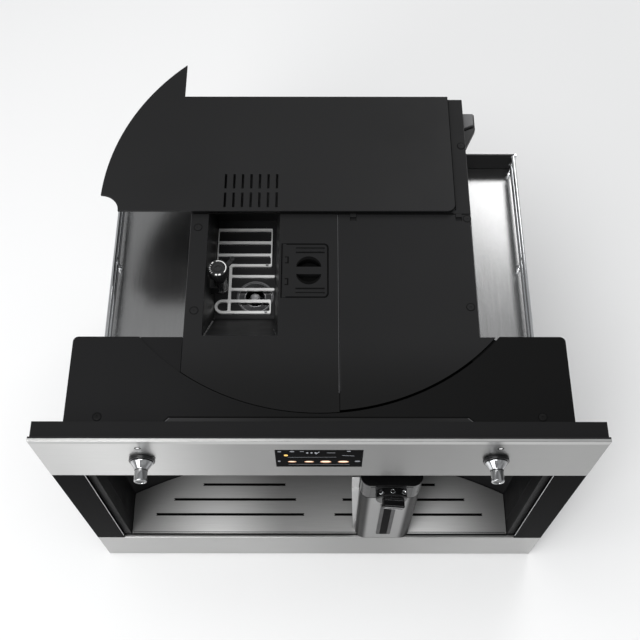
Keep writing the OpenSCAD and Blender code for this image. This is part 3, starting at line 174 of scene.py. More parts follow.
def merged_copy(node, name):
    piece = bpy.data.objects.new(name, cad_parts[node].data.copy())
    bpy.context.scene.collection.objects.link(piece)
    pick(piece)
    enter("EDIT")
    mark("SELECT")
    bpy.ops.mesh.remove_doubles(threshold=same_point)
    bpy.ops.mesh.dissolve_limited(angle_limit=radians(0.6))
    enter("OBJECT")
    piece.data.materials.clear()
    return piece


def smooth_flat(piece, angle):
    pick(piece)
    bpy.ops.object.shade_smooth_by_angle(angle=radians(angle))
    flat = piece.modifiers.new("flat_faces", "WEIGHTED_NORMAL")
    flat.keep_sharp = True
    flat.weight = 80
    bpy.ops.object.modifier_apply(modifier="flat_faces")


def soften(piece, width, segments=2, angle=32.0):
    pick(piece)
    edge = piece.modifiers.new("edges", "BEVEL")
    edge.width = width
    edge.segments = segments
    edge.limit_method = "ANGLE"
    edge.angle_limit = radians(angle)
    bpy.ops.object.modifier_apply(modifier="edges")
    smooth_flat(piece, angle)


def fit(piece, material, slot, body="machine", replaces=None, angle=0, edge=0, segments=2):
    if edge:
        soften(piece, edge, segments)
    if angle:
        smooth_flat(piece, angle)
    piece.data.materials.clear()
    piece.data.materials.append(material)
    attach(piece, body)
    if replaces:
        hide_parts(replaces)
    return piece


def dress(node, material, slot, width, body="machine", segments=2):
    piece = merged_copy(node, node + "_finished")
    return fit(piece, material, slot, body, node, edge=width, segments=segments)


def zinc_coat():
    material, tree, shader = new_material("zinc_coated_steel")
    preset(shader, "Metallic", 0.85)
    flakes = tree.nodes.new("ShaderNodeTexVoronoi")
    preset(flakes, "Scale", 70.0)
    place = tree.nodes.new("ShaderNodeTexCoord")
    link(tree, place, "Object", flakes, "Vector")
    tone(tree, shader, (0.34, 0.35, 0.36), (0.52, 0.53, 0.54), flakes.outputs["Color"])
    tree.links.new(vary(tree, 30.0, 0.3, 0.48), shader.inputs["Roughness"])
    bump(tree, shader, vary(tree, 400.0, 0.0, 1.0), 0.0001, 0.3)
    return material


zinc = zinc_coat()
dress("cabinet_base", zinc, "zinc_steel", 0.0005, "cabinet")
for side in ("left", "right"):
    dress("runner_outer_" + side, zinc, "zinc_steel", 0.0003, "cabinet")
    dress("runner_mid_" + side, zinc, "zinc_steel", 0.0003, "slide_" + side)
    dress("runner_inner_" + side, zinc, "zinc_steel", 0.0003)
dress("base_pan", zinc, "zinc_steel", 0.0003)


# Four wood screws with wide pan heads and a round recess hold the floor plate down. They
# are turned from bright steel and stand in the holes of the plate.
def surface(name, dark, light, patch, rough, grain=None, metal=0.0, gloss=0.5, detail=4.0, stretch=(1, 1, 1)):
    material, tree, shader = new_material(name)
    preset(shader, "Metallic", metal)
    preset(shader, "Specular IOR Level", gloss)
    tone(tree, shader, dark, light, vary(tree, patch, 0.0, 1.0, detail, stretch))
    tree.links.new(vary(tree, *rough), shader.inputs["Roughness"])
    if grain:
        scale, depth, strength, fineness = grain
        bump(tree, shader, vary(tree, scale, 0.0, 1.0, fineness), depth, strength)
    return material


# Sizes are in mm from the foot of the fascia's front, and spot turns them into places.
fascia_y, fascia_z = 241.15, 1.5
up = (0, 0, 1)


def spot(x, y, z):
    return Vector((x, y - fascia_y, z + fascia_z)) / 1000


def begin():
    bpy.ops.object.select_all(action="DESELECT")
    bpy.ops.mesh.primitive_plane_add(size=0.001, location=(0, 0, 0))
    piece = bpy.context.active_object
    enter("EDIT")
    bpy.ops.mesh.select_mode(type="VERT")
    mark("SELECT")
    bpy.ops.mesh.merge(type="CENTER")
    return piece


def trace(points):
    bpy.ops.transform.translate(value=points[0])
    for first, second in zip(points, points[1:]):
        bpy.ops.mesh.extrude_region_move(TRANSFORM_OT_translate={"value": second - first})


def close_up():
    mark("SELECT")
    bpy.ops.mesh.remove_doubles(threshold=same_point)
    bpy.ops.mesh.normals_make_consistent(inside=False)
    enter("OBJECT")


def turned(profile, middle, steps=48, axis=up):
    side = Vector((1, 0, 0)) if abs(axis[0]) < 0.5 else Vector((0, 1, 0))
    along = Vector(axis)
    piece = begin()
    trace([middle + side * (r / 1000) + along * (h / 1000) for r, h in profile])
    mark("SELECT")
    bpy.ops.mesh.spin(steps=steps, angle=2 * pi, center=middle, axis=along)
    close_up()
    return piece


def joined(name, pieces):
    bpy.ops.object.select_all(action="DESELECT")
    for piece in pieces:
        piece.select_set(True)
    bpy.context.view_layer.objects.active = pieces[0]
    if len(pieces) > 1:
        bpy.ops.object.join()
    pieces[0].name = name
    return pieces[0]


def build(name, pieces, *looks, **edges):
    return fit(joined(name, pieces), *looks, **edges)


def screw_head(x, y, z, axis, r, h):
    profile = [(0, 0), (r, 0), (r, 0.45 * h), (0.82 * r, h), (0.42 * r, h), (0.42 * r, 0.4 * h), (0, 0.4 * h)]
    return turned(profile, spot(x, y, z), 24, axis)


bright_steel = surface("bright_steel", (0.42, 0.42, 0.43), (0.56, 0.56, 0.57), 90.0, (40.0, 0.2, 0.36),
                       (700.0, 0.00004, 0.3, 4.0), metal=1.0)
screw_x, screw_y, niche_y = 200, 200, 267.3
floor_screws = [screw_head(x, niche_y + y, 0.5, up, 4.2, 2.2)
                for x in (-screw_x, screw_x) for y in (-screw_y, screw_y)]
build("floor_screws", floor_screws, bright_steel, "zinc_steel", "cabinet", angle=30)


# Hardened steel balls in a pressed cage run between the middle and the outer member of
# each runner. The cage lies along the upper and the lower track.
def plate(outline, depth):
    piece = begin()
    trace(outline)
    mark("SELECT")
    bpy.ops.mesh.edge_face_add()
    bpy.ops.mesh.extrude_region_move(TRANSFORM_OT_translate={"value": depth})
    close_up()
    return piece


def deep(x, y, z):
    return Vector((x, y, z)) / 1000


def level_plate(z, rise, *points):
    return plate([spot(x, y, z) for x, y in points], deep(0, 0, rise))


def slab(x0, x1, y0, y1, z, rise):
    return level_plate(z, rise, (x0, y0), (x1, y0), (x1, y1), (x0, y1))


for side, sign in (("left", -1), ("right", 1)):
    balls = []
    for track in (16.8, 52.2):
        for i in range(12):
            balls.append(turned([(0, -1.0), (0.5, -0.87), (0.87, -0.5), (1.0, 0), (0.87, 0.5), (0.5, 0.87), (0, 1.0)],
                                spot(sign * 263.4, 120 + 16 * i, track), 12))
        balls.append(slab(sign * 262.9, sign * 263.9, 114, 304, track - 0.3, 0.6))
    build("runner_balls_" + side, balls, bright_steel, "zinc_steel", "slide_" + side, angle=40)


# The side and rear panels, the carrier frame and the core are folded from steel sheet and
# powder coated matt black, with the fine orange peel that the powder leaves.
def powder_coat(name, dark, light, rough_low, rough_high, gloss):
    return surface(name, dark, light, 3.0, (9.0, rough_low, rough_high), (900.0, 0.0001, 0.22, 2.0),
                   gloss=gloss, detail=2.0)


matt_black = powder_coat("matt_black_coat", (0.006, 0.006, 0.0063), (0.0092, 0.0092, 0.0096), 0.46, 0.6, 0.2)
deep_black = powder_coat("deep_black_coat", (0.002, 0.002, 0.002), (0.004, 0.004, 0.004), 0.55, 0.7, 0.03)
front_black = powder_coat("front_black_coat", (0.0045, 0.0045, 0.0048), (0.0068, 0.0068, 0.0072), 0.46, 0.6, 0.1)
deck_black_painted_shade = powder_coat("deck_black_coat_painted_shade", (0.0058, 0.0058, 0.0061), (0.009, 0.009, 0.0094), 0.46, 0.6, 0.14)
for node in ("side_panel_left", "side_panel_right", "rear_panel", "core_casing"):
    dress(node, matt_black, "black_paint", 0.0003)
dress("front_frame", front_black, "black_paint", 0.0008)


# Bright screws with a round recess clamp the rear panel and the side panels to the frame
# of the machine, along the edges of each panel.
back = (0, 1, 0)
screw_places = [(x, 18) for x in (-246, -150, -40, 40, 150, 246)] + [(x, z) for x in (-246, 246) for z in (150, 300)]
screw_places += [(x, 424) for x in (-138, -60, 60, 165)]
panel_screws = [screw_head(x, 452, z, back, 3.2, 1.6) for x, z in screw_places]
build("panel_screws", panel_screws, bright_steel, "black_paint", angle=30)
side_screws = [screw_head(sign * 255.8, y, z, (sign, 0, 0), 3.0, 1.4) for sign in (-1, 1)
               for y, z in ((40, 120), (40, 300), (118, 300), (440, 300), (440, 90), (250, 310))]
build("side_screws", side_screws, bright_steel, "black_paint", angle=30)


# The mains inlet is a moulded socket with three tinned pins, and the rocker switch beside
# it is the same moulded black plastic. Both snap into the rear panel.
def moulded(name, dark, light, rough_low, rough_high, grain, gloss):
    return surface(name, dark, light, 14.0, (25.0, rough_low, rough_high), (1400.0, 0.00008, grain, 2.0), gloss=gloss)


satin_plastic = moulded("satin_black_plastic", (0.008, 0.008, 0.0085), (0.013, 0.013, 0.0135), 0.36, 0.48, 0.12, 0.25)
smooth_plastic = moulded("smooth_black_plastic", (0.005, 0.005, 0.0055), (0.008, 0.008, 0.0085),
                         0.14, 0.22, 0.04, 0.4)
dress("power_inlet", satin_plastic, "black_plastic", 0.0004)
dress("power_switch", smooth_plastic, "black_plastic", 0.0006, "switch")
pins = [slab(x - 1.1, x + 1.1, 441, 450.4, 66.8, 4.4) for x in (-221.5, -215, -208.5)]
build("inlet_pins", pins, bright_steel, "black_plastic", edge=0.0003)


# Two small rivets with shallow heads, one at each end, hold the moulded flange of the
# mains inlet to the rear panel.
flange_rivets = [screw_head(x, 454, 65, back, 1.8, 0.9) for x in (-241.8, -188.2)]
build("flange_rivets", flange_rivets, bright_steel, "black_plastic", angle=30)


# The control band, the front of the drip tray and the grille are stainless steel, brushed
# from left to right, with a fine lip rolled along their edges.
def front_outline(y, *points):
    return [spot(x, y, z) for x, z in points]


def front_plate(y, depth, *points):
    return plate(front_outline(y, *points), deep(0, depth, 0))


def panel(x0, x1, z0, z1, y, depth):
    return front_plate(y, depth, (x0, z0), (x1, z0), (x1, z1), (x0, z1))


def brushed(name, base, stretch, rough_low, rough_high):
    material, tree, shader = new_material(name)
    preset(shader, "Metallic", 1.0)
    lines = vary(tree, 60.0, 0.0, 1.0, 6.0, stretch)
    tone(tree, shader, tuple(0.92 * c for c in base), tuple(1.06 * c for c in base), lines)
    blend = tree.nodes.new("ShaderNodeMath")
    blend.operation = "MULTIPLY_ADD"
    tree.links.new(lines, blend.inputs[0])
    preset(blend, 1, 0.5 * (rough_high - rough_low))
    tree.links.new(vary(tree, 6.0, rough_low, 0.5 * (rough_low + rough_high)), blend.inputs[2])
    link(tree, blend, "Value", shader, "Roughness")
    bump(tree, shader, lines, 0.00003, 0.3)
    return material


# This multiplies a material's colour by a ramp of levels along one axis of the object, to paint highlights,
# reflections and shade into it.
def paint_light_ramp(material, span, stops, axis="X"):
    tree = material.node_tree
    shader = tree.nodes["Principled BSDF"]
    place = tree.nodes.new("ShaderNodeTexCoord")
    axes = tree.nodes.new("ShaderNodeSeparateXYZ")
    reach = tree.nodes.new("ShaderNodeMapRange")
    preset(reach, "From Min", span[0])
    preset(reach, "From Max", span[1])
    ramp = tree.nodes.new("ShaderNodeValToRGB")
    ramp.color_ramp.interpolation = "EASE"
    for position, level in stops[1:-1]:
        ramp.color_ramp.elements.new(position)
    for element, (position, level) in zip(ramp.color_ramp.elements, stops):
        element.position = position
        element.color = (level, level, level, 1)
    mix = tree.nodes.new("ShaderNodeMix")
    mix.data_type = "RGBA"
    mix.blend_type = "MULTIPLY"
    preset(mix, "Factor", 1.0)
    link(tree, place, "Object", axes, "Vector")
    tree.links.new(axes.outputs[axis], reach.inputs["Value"])
    link(tree, reach, "Result", ramp, "Fac")
    tree.links.new(shader.inputs["Base Color"].links[0].from_socket, mix.inputs["A"])
    link(tree, ramp, "Color", mix, "B")
    link(tree, mix, "Result", shader, "Base Color")
    return material


across, along, upright = (0.4, 60.0, 60.0), (60.0, 0.4, 60.0), (60.0, 60.0, 0.4)
steel_across = brushed("steel_brushed_across", (0.47, 0.47, 0.465), across, 0.26, 0.38)
steel_along = brushed("steel_brushed_along", (0.44, 0.44, 0.44), along, 0.26, 0.38)
steel_upright = brushed("steel_brushed_upright", (0.36, 0.36, 0.36), upright, 0.22, 0.34)
# The band and the tray front are lighter copies of the brushed steel, with painted highlights and shade that rise and
# fall across them from left to right.
band_steel_painted_light = paint_light_ramp(brushed("band_steel_painted_light", (0.74, 0.74, 0.732), across, 0.26, 0.38), (-0.2975, 0.2975),
                     [(0.0, 0.72), (0.13, 0.86), (0.39, 0.35), (0.52, 0.26), (1.0, 0.42)])
tray_steel_painted_light = paint_light_ramp(brushed("tray_steel_painted_light", (0.58, 0.58, 0.574), across, 0.26, 0.38), (-0.2975, 0.2975),
                     [(0.0, 0.74), (0.3, 0.73), (0.6, 0.55), (0.9, 0.76)])
dress("fascia_band", band_steel_painted_light, "brushed_steel", 0.0005)
dress("tray_front", tray_steel_painted_light, "brushed_steel", 0.0012, "drawer", segments=3)
band_lip = [slab(-296.8, 296.8, 0.3, 2.9, 455.0, 0.05),
            panel(-296.8, 296.8, 447.0, 454.6, 0.0, -0.05)]
build("fascia_band_lip", band_lip, steel_across, "brushed_steel")


# A ring is etched dark into the band above each knob, with a small clear lens in its
# middle that shows the position of the knob.
def washer(inner, outer, height, edge=0):
    return [(inner, 0), (outer, edge), (outer, height - edge), (inner, height), (inner, 0)]


forward = (0, -1, 0)
pale_lens = surface("pale_lens", (0.72, 0.72, 0.72), (0.84, 0.84, 0.84), 60.0, (50.0, 0.08, 0.14))
lens_profile = [(0, 0), (2.0, 0), (2.0, 0.1), (1.2, 0.3), (0, 0.38)]
index_rings = [turned(washer(2.1, 3.4, 0.12), spot(x, 0, 434), 40, forward) for x in (-188, 188)]
index_lenses = [turned(lens_profile, spot(x, 0, 434), 32, forward) for x in (-188, 188)]
build("index_rings", index_rings, deep_black, "brushed_steel", angle=30)
build("index_lenses", index_lenses, pale_lens, "brushed_steel", angle=30)


# The stiles beside the bay and the display cover are black glass, ground smooth along
# their edges and polished. They are glued to the carrier frame.
def adjust(material, label, value):
    preset(material.node_tree.nodes["Principled BSDF"], label, value)


black_glass = surface("black_glass", (0.0012, 0.0012, 0.0014), (0.002, 0.002, 0.0024), 5.0, (8.0, 0.05, 0.1),
                      gloss=0.05)
adjust(black_glass, "IOR", 1.1)
dress("fascia_stiles", black_glass, "black_glass", 0.0008, segments=3)
dress("display_glass", black_glass, "black_glass", 0.0006, segments=3)


# A thin strip of bright steel along the inner edge of each stile, from the top of the bay to the drip tray, is a
# painted highlight on that edge.
stile_edge_highlights = [panel(sign * 260.2, sign * 261.0, 96, 346, -0.2, 0.9) for sign in (-1, 1)]
build("stile_edge_highlights", stile_edge_highlights, bright_steel, "black_glass", edge=0.0002)


# The display shows small lit symbols below the glass: four round drinks, a row of three
# dots, a yellow dot and plain grey strokes. They are printed as thin light guides.
def lit(name, colour, low, high):
    material, tree, shader = new_material(name)
    tone(tree, shader, tuple(0.8 * c for c in colour), colour, vary(tree, 200.0, 0.0, 1.0))
    dim, bright = (tuple(share * c for c in colour) for share in (low, high))
    tone(tree, shader, dim, bright, vary(tree, 260.0, 0.0, 1.0), "Emission Color")
    preset(shader, "Emission Strength", 1.0)
    preset(shader, "Roughness", 0.3)
    return material


def oval_outline(x, z, w, h, y=0.0, steps=28):
    turns = [2 * pi * i / steps for i in range(steps)]
    return [spot(x + 0.5 * w * cos(t), y, z + 0.5 * h * sin(t)) for t in turns]


def stroke_outline(x0, z0, x1, z1, w, y=0.0):
    run = Vector((x1 - x0, z1 - z0)).normalized() * (0.5 * w)
    return front_outline(y, (x0 + run.y, z0 - run.x), (x1 + run.y, z1 - run.x), (x1 - run.y, z1 + run.x),
                         (x0 - run.y, z0 + run.x))


def symbols(name, outlines, material):
    pieces = [plate(outline, deep(0, -0.06, 0)) for outline in outlines]
    build(name, pieces, material, "black_glass")


warm_cream = lit("lit_cream", (0.85, 0.66, 0.5), 0.55, 0.8)
warm_brown = lit("lit_brown", (0.42, 0.19, 0.08), 0.4, 0.6)
lit_yellow = lit("lit_yellow", (0.8, 0.46, 0.08), 0.4, 0.6)
lit_white = lit("lit_white", (0.26, 0.27, 0.3), 0.3, 0.45)
lit_grey = lit("lit_grey", (0.1, 0.105, 0.12), 0.2, 0.35)
drinks = ((-28.8, 9.2, 4.0), (-10.7, 10.4, 4.4), (7.1, 12.0, 6.6), (26.0, 12.0, 6.0))
symbols("display_drinks_rims", [oval_outline(x, 393.0, w, h + 0.6) for x, w, h in drinks], warm_brown)
symbols("display_drinks", [oval_outline(x, 393.9, 0.82 * w, 0.5 * h, -0.06) for x, w, h in drinks], warm_cream)
symbols("display_dot", [oval_outline(-34.9, 413.0, 4.4, 5.2)], lit_yellow)
symbols("display_row", [oval_outline(x, 420.8, 2.3, 3.4) for x in (-12.3, -7.9, -3.7)]
        + [stroke_outline(-3.4, 417.0, 0.2, 424.0, 0.9), stroke_outline(24.5, 413.0, 37.0, 411.6, 0.6),
           stroke_outline(29.2, 426.1, 33.0, 426.1, 1.6)], lit_white)
symbols("display_lines", [stroke_outline(-33, 407.0, 18.3, 407.6, 0.7), stroke_outline(-33, 384.4, 33, 384.4, 0.6),
                          oval_outline(-28.3, 424.9, 5.0, 4.0), oval_outline(-41.5, 424.3, 4.0, 3.6),
                          oval_outline(-42.6, 394.5, 3.0, 4.6), oval_outline(41.0, 394.6, 6.0, 4.4),
                          stroke_outline(-20, 425, -16, 425, 1.6), stroke_outline(8, 421, 17, 421, 1.2)], lit_grey)


# The control board is glass fibre with a green mask. Three black packages and a row of
# small contacts sit on its back, behind the display.
def board_mask():
    material, tree, shader = new_material("board_mask")
    cells = tree.nodes.new("ShaderNodeTexBrick")
    preset(cells, "Scale", 120.0)
    preset(cells, "Color1", (0.015, 0.09, 0.035, 1))
    preset(cells, "Color2", (0.02, 0.12, 0.045, 1))
    preset(cells, "Mortar", (0.035, 0.18, 0.07, 1))
    place = tree.nodes.new("ShaderNodeTexCoord")
    turn = tree.nodes.new("ShaderNodeMapping")
    preset(turn, "Rotation", (radians(90), 0, 0))
    link(tree, place, "Object", turn, "Vector")
    link(tree, turn, "Vector", cells, "Vector")
    link(tree, cells, "Color", shader, "Base Color")
    tree.links.new(vary(tree, 80.0, 0.24, 0.4), shader.inputs["Roughness"])
    bump(tree, shader, cells.outputs["Fac"], 0.00005, 0.4)
    return material


dress("control_board", board_mask(), "board_green", 0.0002)
chips = [panel(x - 7, x + 7, 396, 410, 27.2, 0.9) for x in (-23.3, 0, 23.3)]
chips += [panel(2.4 * i - 41, 2.4 * i - 40, 388.5, 391, 24.25, 1.4) for i in range(16)]
build("board_packages", chips, satin_plastic, "board_green", edge=0.0002)


# Each knob sits on a black moulded ring and turns a metal encoder behind the fascia. The
# knob is turned from brass and chromed, and a black plug closes its hollow end.
def polished(name, dark, light, scale, stretch):
    return surface(name, dark, light, scale, (18.0, 0.05, 0.1), metal=1.0, stretch=stretch)


chrome = polished("polished_chrome", (0.54, 0.55, 0.56), (0.66, 0.67, 0.68), 12.0, (1, 1, 1))
# The knobs' chrome carries dark and light streaks that run along the knob's axis: painted reflections.
knob_chrome_painted_reflections = polished("knob_chrome_painted_reflections", (0.14, 0.14, 0.145), (0.72, 0.73, 0.74), 160.0, (1, 0.04, 1))
dress("knob_bezels", smooth_plastic, "black_plastic", 0.0009, segments=3)
dress("knob_encoders", bright_steel, "black_plastic", 0.0004)
for side, x in (("left", -188), ("right", 188)):
    dress("knob_" + side, knob_chrome_painted_reflections, "chrome", 0.0005, "knob_" + side, segments=3)
    plug = turned([(0, 0), (4.9, 0), (4.9, 0.5), (4.3, 0.9), (0, 0.7)], spot(x, -24.2, 402), 40, forward)
    build("knob_plug_" + side, [plug], smooth_plastic, "chrome", "knob_" + side, angle=30)
    # A deep black ring where the cone of each knob meets its grip is painted shade in the groove there.
    collar_shade = turned([(7.0, 0), (7.2, 0.1), (7.2, 0.6), (7.0, 0.7), (6.8, 0.7), (6.8, 0)],
                    spot(x, -13.2, 402), 48, forward)
    build("knob_collar_shade_" + side, [collar_shade], deep_black, "chrome", "knob_" + side, angle=30)


# The front housing and its top plate are powder coated steel. The ledge along the fascia
# is folded up from the top plate, and flat plugs cover the screws of the plates.
# The housing's coat carries painted light that is brightest on the left and fades to the right, and the deck's coat
# painted shade that darkens it to black toward its front edge.
housing_coat_painted_light = powder_coat("housing_coat_painted_light", (0.0045, 0.0045, 0.0048), (0.0068, 0.0068, 0.0072), 0.46, 0.6, 0.1)
paint_light_ramp(housing_coat_painted_light, (-0.24, 0.24), [(0.1, 1.0), (0.46, 0.22), (1.0, 0.06)])
paint_light_ramp(deck_black_painted_shade, (-0.2, 0.14), [(0.0, 0.0), (0.26, 1.0)], "Y")
dress("front_housing", housing_coat_painted_light, "black_paint", 0.0008)
dress("housing_top", housing_coat_painted_light, "black_paint", 0.0009, segments=3)
dress("core_deck", deck_black_painted_shade, "black_paint", 0.0006, segments=3)
dress("rear_cover", matt_black, "black_paint", 0.0008, segments=3)
cap_profile = [(0, 0), (4.1, 0), (4.0, 0.35), (3.4, 0.5), (1.2, 0.5), (0.9, 0.2), (0, 0.2)]
plug_places = [(170, 381.6), (170.5, 278), (167, 162.5), (-139.5, 266), (-138, 158), (-232, 32.6), (233.5, 32.6)]
# Deep black rings round the plugs are painted shade in the grooves round them.
plug_groove_shade = [turned(washer(4.3, 4.9, 0.12), spot(x, y, 440), 40) for x, y in plug_places]
plug_caps = [turned(cap_profile, spot(x, y, 440), 40) for x, y in plug_places]
build("plug_groove_shade", plug_groove_shade, deep_black, "black_paint", angle=30)
build("plug_caps", plug_caps, deck_black_painted_shade, "black_paint", angle=30)
ledge_coat = powder_coat("ledge_coat", (0.0075, 0.0075, 0.0079), (0.0105, 0.0105, 0.011), 0.4, 0.5, 0.13)
# The ledge's face is a lighter coat with a ramp along it, brightest at its left end and a little brighter again at
# its right: a painted highlight on its top.
ledge_face_highlight = powder_coat("ledge_face_highlight_coat", (0.018, 0.018, 0.0185), (0.024, 0.024, 0.0247), 0.4, 0.5, 0.13)
paint_light_ramp(ledge_face_highlight, (-0.16, 0.16), [(0.0, 1.0), (0.42, 0.32), (0.8, 0.3), (1.0, 0.5)])
build("ledge_face", [level_plate(442.5, 0.1, (-162.0, 24.8), (162.4, 24.8), (155.6, 30.3), (-156.8, 30.3))],
      ledge_face_highlight, "black_paint")
ledge_corners = ((-1, -162.0, -156.8), (1, 162.4, 155.6))
ledge_ends = [level_plate(440, 2.5, (foot, 24.8), (sign * 158.9, 24.8), (sign * 154.4, 30.3), (top, 30.3))
              for sign, foot, top in ledge_corners]
build("ledge_ends", ledge_ends, ledge_coat, "black_paint")
# Lighter strips along the sloping ends of the ledge are painted highlights on their bevelled edges.
ledge_end_highlights = [level_plate(442.6, 0.06, (foot, 24.8), (foot - 1.2 * sign, 24.8), (top - 1.2 * sign, 30.3), (top, 30.3))
              for sign, foot, top in ledge_corners]
ledge_highlight_coat = powder_coat("ledge_rim_highlight_coat", (0.06, 0.06, 0.062), (0.08, 0.08, 0.082), 0.4, 0.5, 0.13)
build("ledge_end_highlights", ledge_end_highlights, ledge_highlight_coat, "black_paint")
build("band_top_seal", [slab(-297.3, 297.3, 3.0, 5.0, 455.0, 0.06)], ledge_coat, "black_paint")


# Deep black strips lie behind the ledge and beside its ends, under the front edge of the rear cover and down the
# right side of the core deck: painted shade in the shadow gaps there.
shadow_strips = [slab(-157.4, 156.2, 30.7, 33.0, 440.0, 0.05),
         level_plate(440, 0.06, (-165.2, 24.6), (-162.6, 24.6), (-156.4, 31.4), (-157.6, 33.0)),
         level_plate(440, 0.06, (165.6, 24.6), (163.0, 24.6), (155.2, 31.4), (156.4, 33.0)),
         slab(-146, 155, 283.9, 284.7, 440.0, 1.6),
         slab(157.4, 158.4, 290, 451, 440.0, 1.2)]
build("deck_shadow_strips", shadow_strips, deep_black, "black_paint", edge=0.0001)


# Thin grey strips on each side of the core's deck and along the tank lid are painted highlights on the edges at the
# seams, and the bracket on the right of the core holds a grey latch block.
grey_moulding = moulded("grey_plastic", (0.055, 0.055, 0.057), (0.075, 0.075, 0.078), 0.3, 0.42, 0.1, 0.4)
seam_highlight_strips = [slab(174.7, 175.25, 126.5, 451, 438.6, 1.15),
               slab(-148.25, -147.75, 126.5, 284, 438.6, 1.15),
               slab(20.9, 21.35, 60, 283, 439.4, 0.7)]
build("deck_seam_highlights", seam_highlight_strips, grey_moulding, "black_paint")
build("latch_block", [level_plate(422, 5, (177, 441), (190, 441), (190, 424), (177, 418))], grey_moulding,
      "black_paint", edge=0.001, segments=3)
build("latch_cover", [level_plate(422, 3.4, (176, 386), (176, 415), (191, 421), (191, 417))], satin_plastic,
      "black_paint", edge=0.001, segments=3)


# The bay is lined with a black moulding that curves round its back. A lamp bar with four
# pale lenses sits at its top, behind the control band.
bay_black = moulded("bay_black_plastic", (0.005, 0.005, 0.0055), (0.008, 0.008, 0.0085), 0.3, 0.42, 0.1, 0.12)
adjust(bay_black, "IOR", 1.25)
dress("bay_liner", bay_black, "black_plastic", 0.0006)
build("bay_lamp_bar", [panel(-60, 60, 343.4, 346.2, 24.0, 9)], satin_plastic, "black_plastic", edge=0.0008,
      segments=3)
lamp_lenses = [turned([(0, 0), (2.4, 0), (2.2, 0.5), (1.2, 0.9), (0, 1.0)], spot(x, 28.5, 343.4), 24, (0, 0, -1))
               for x in (-48, -16, 16, 48)]
build("bay_lamp_lenses", lamp_lenses, pale_lens, "black_plastic", angle=30)


# The spout slides on the column. Its head is moulded in black with a bright band round
# its foot and two steel nozzles below it.
dress("spout_head", smooth_plastic, "black_plastic", 0.0022, "spout", segments=4)
band = [slab(x0, x1, 47.7, y1, 231, 4)
        for x0, x1, y1 in ((-22.3, 22.3, 48.0), (-22.3, -22.0, 85.4), (22.0, 22.3, 85.4))]
build("spout_band", band, chrome, "black_plastic", "spout")
tips = [turned([(4.15, 0), (4.7, 0.3), (4.7, 5.6), (4.15, 6.0), (4.15, 0)], spot(x, 66.85, 217), 32)
        for x in (-12, 12)]
build("spout_nozzle_tips", tips, chrome, "black_plastic", "spout", angle=30)


# The bean hopper is a deep black moulding, and thin bright strips up two of its front corners are painted highlights
# on those edges. A turned sleeve guides the post of the grind dial, and a cap closes the end of the pointer.
dress("hopper_bin", satin_plastic, "black_plastic", 0.0006)
corner_highlights = [plate([spot(-126.6, 196.2, 347.2), spot(-127.6, 128.2, 435.6), spot(-126.1, 127.4, 435.6),
                spot(-125.2, 195.0, 347.2)], deep(0.3, 0.6, 0.3)),
         plate([spot(-45.8, 127.7, 435.6), spot(-46.6, 127.7, 435.6), spot(-52.0, 154.0, 402.0),
                spot(-51.4, 154.0, 402.0)], deep(-0.2, 0.4, 0.2))]
build("hopper_corner_highlights", corner_highlights, bright_steel, "black_plastic")
dial_centre = (-115.2, 217)
sleeve = turned([(7.62, 0), (8.3, 0.6), (8.3, 3.0), (7.75, 3.6), (7.75, 22.0), (7.62, 22.4), (7.62, 0)],
                spot(*dial_centre, 386), 48)
build("dial_post_sleeve", [sleeve], steel_upright, "black_plastic", angle=30)
arm_end = turned([(0, 0), (3.1, 0), (3.1, 0.8), (2.4, 1.4), (1.4, 1.4), (1.1, 0.7), (0, 0.7)],
                 spot(-100.5, 235.8, 419.7), 28)
build("pointer_end", [arm_end], satin_plastic, "black_plastic", angle=30)


# The bean guard is stamped from bright stainless sheet. The corners of its slots are
# round where the punch leaves them, and its edges are polished.
guard = merged_copy("bean_guard", "bean_guard_finished")
enter("EDIT")
bpy.ops.mesh.select_mode(type="VERT")
mark("SELECT")
bpy.ops.transform.shrink_fatten(value=-0.0004, use_even_offset=True)
bpy.ops.mesh.select_mode(type="EDGE")
mark("DESELECT")
enter("OBJECT")
for edge in guard.data.edges:
    ends = [guard.data.vertices[i].co for i in edge.vertices]
    run = ends[1] - ends[0]
    edge.select = abs(run.z) > 0.9 * run.length and run.length > 0.001 and ends[0].x > -0.119
enter("EDIT")
bpy.ops.mesh.bevel(offset=0.0016, segments=4, affect="EDGES")
enter("OBJECT")
soften(guard, 0.0004, 2, 40.0)
# The guard's steel is a much lighter, less metallic copy of the brushed steel: painted light that keeps its bars
# bright down in the hopper.
guard_steel_painted_light = brushed("guard_steel_painted_light", (0.88, 0.88, 0.87), across, 0.3, 0.45)
adjust(guard_steel_painted_light, "Metallic", 0.45)
fit(guard, guard_steel_painted_light, "brushed_steel", replaces="bean_guard")
guard_screws = [screw_head(x, y, 350.1, up, 1.7, 0.9) for x, y in ((-64.5, 268.5), (-64.5, 203.4))]
build("bean_guard_screws", guard_screws, bright_steel, "brushed_steel", angle=30)


# The grind dial is moulded with a ribbed side. A white arc, bars and ticks are printed on
# its top, round a raised boss.
dial_body = turned([(0, 0), (10.9, 0), (11.5, 0.8), (11.5, 10.6), (10.7, 12.0), (7.6, 12.0), (7.0, 11.2), (5.2, 11.2),
                    (4.8, 12.0), (3.2, 12.0), (2.9, 11.0), (0, 11.0)], spot(*dial_centre, 420), 72)
dial_stem = turned([(0, 0), (2.7, 0), (3.0, 0.4), (3.0, 21.4), (0, 21.4)], spot(*dial_centre, 398.65), 32)
ribs = []
for i in range(24):
    turn = radians(15 * i)
    out, aside = Vector((cos(turn), sin(turn), 0)), Vector((-sin(turn), cos(turn), 0))
    foot = spot(*dial_centre, 421.2)
    rib = [foot + out * r + aside * w
           for r, w in ((0.0113, -0.0006), (0.0118, -0.0003), (0.0118, 0.0003), (0.0113, 0.0006))]
    ribs.append(plate(rib, deep(0, 0, 9.0)))
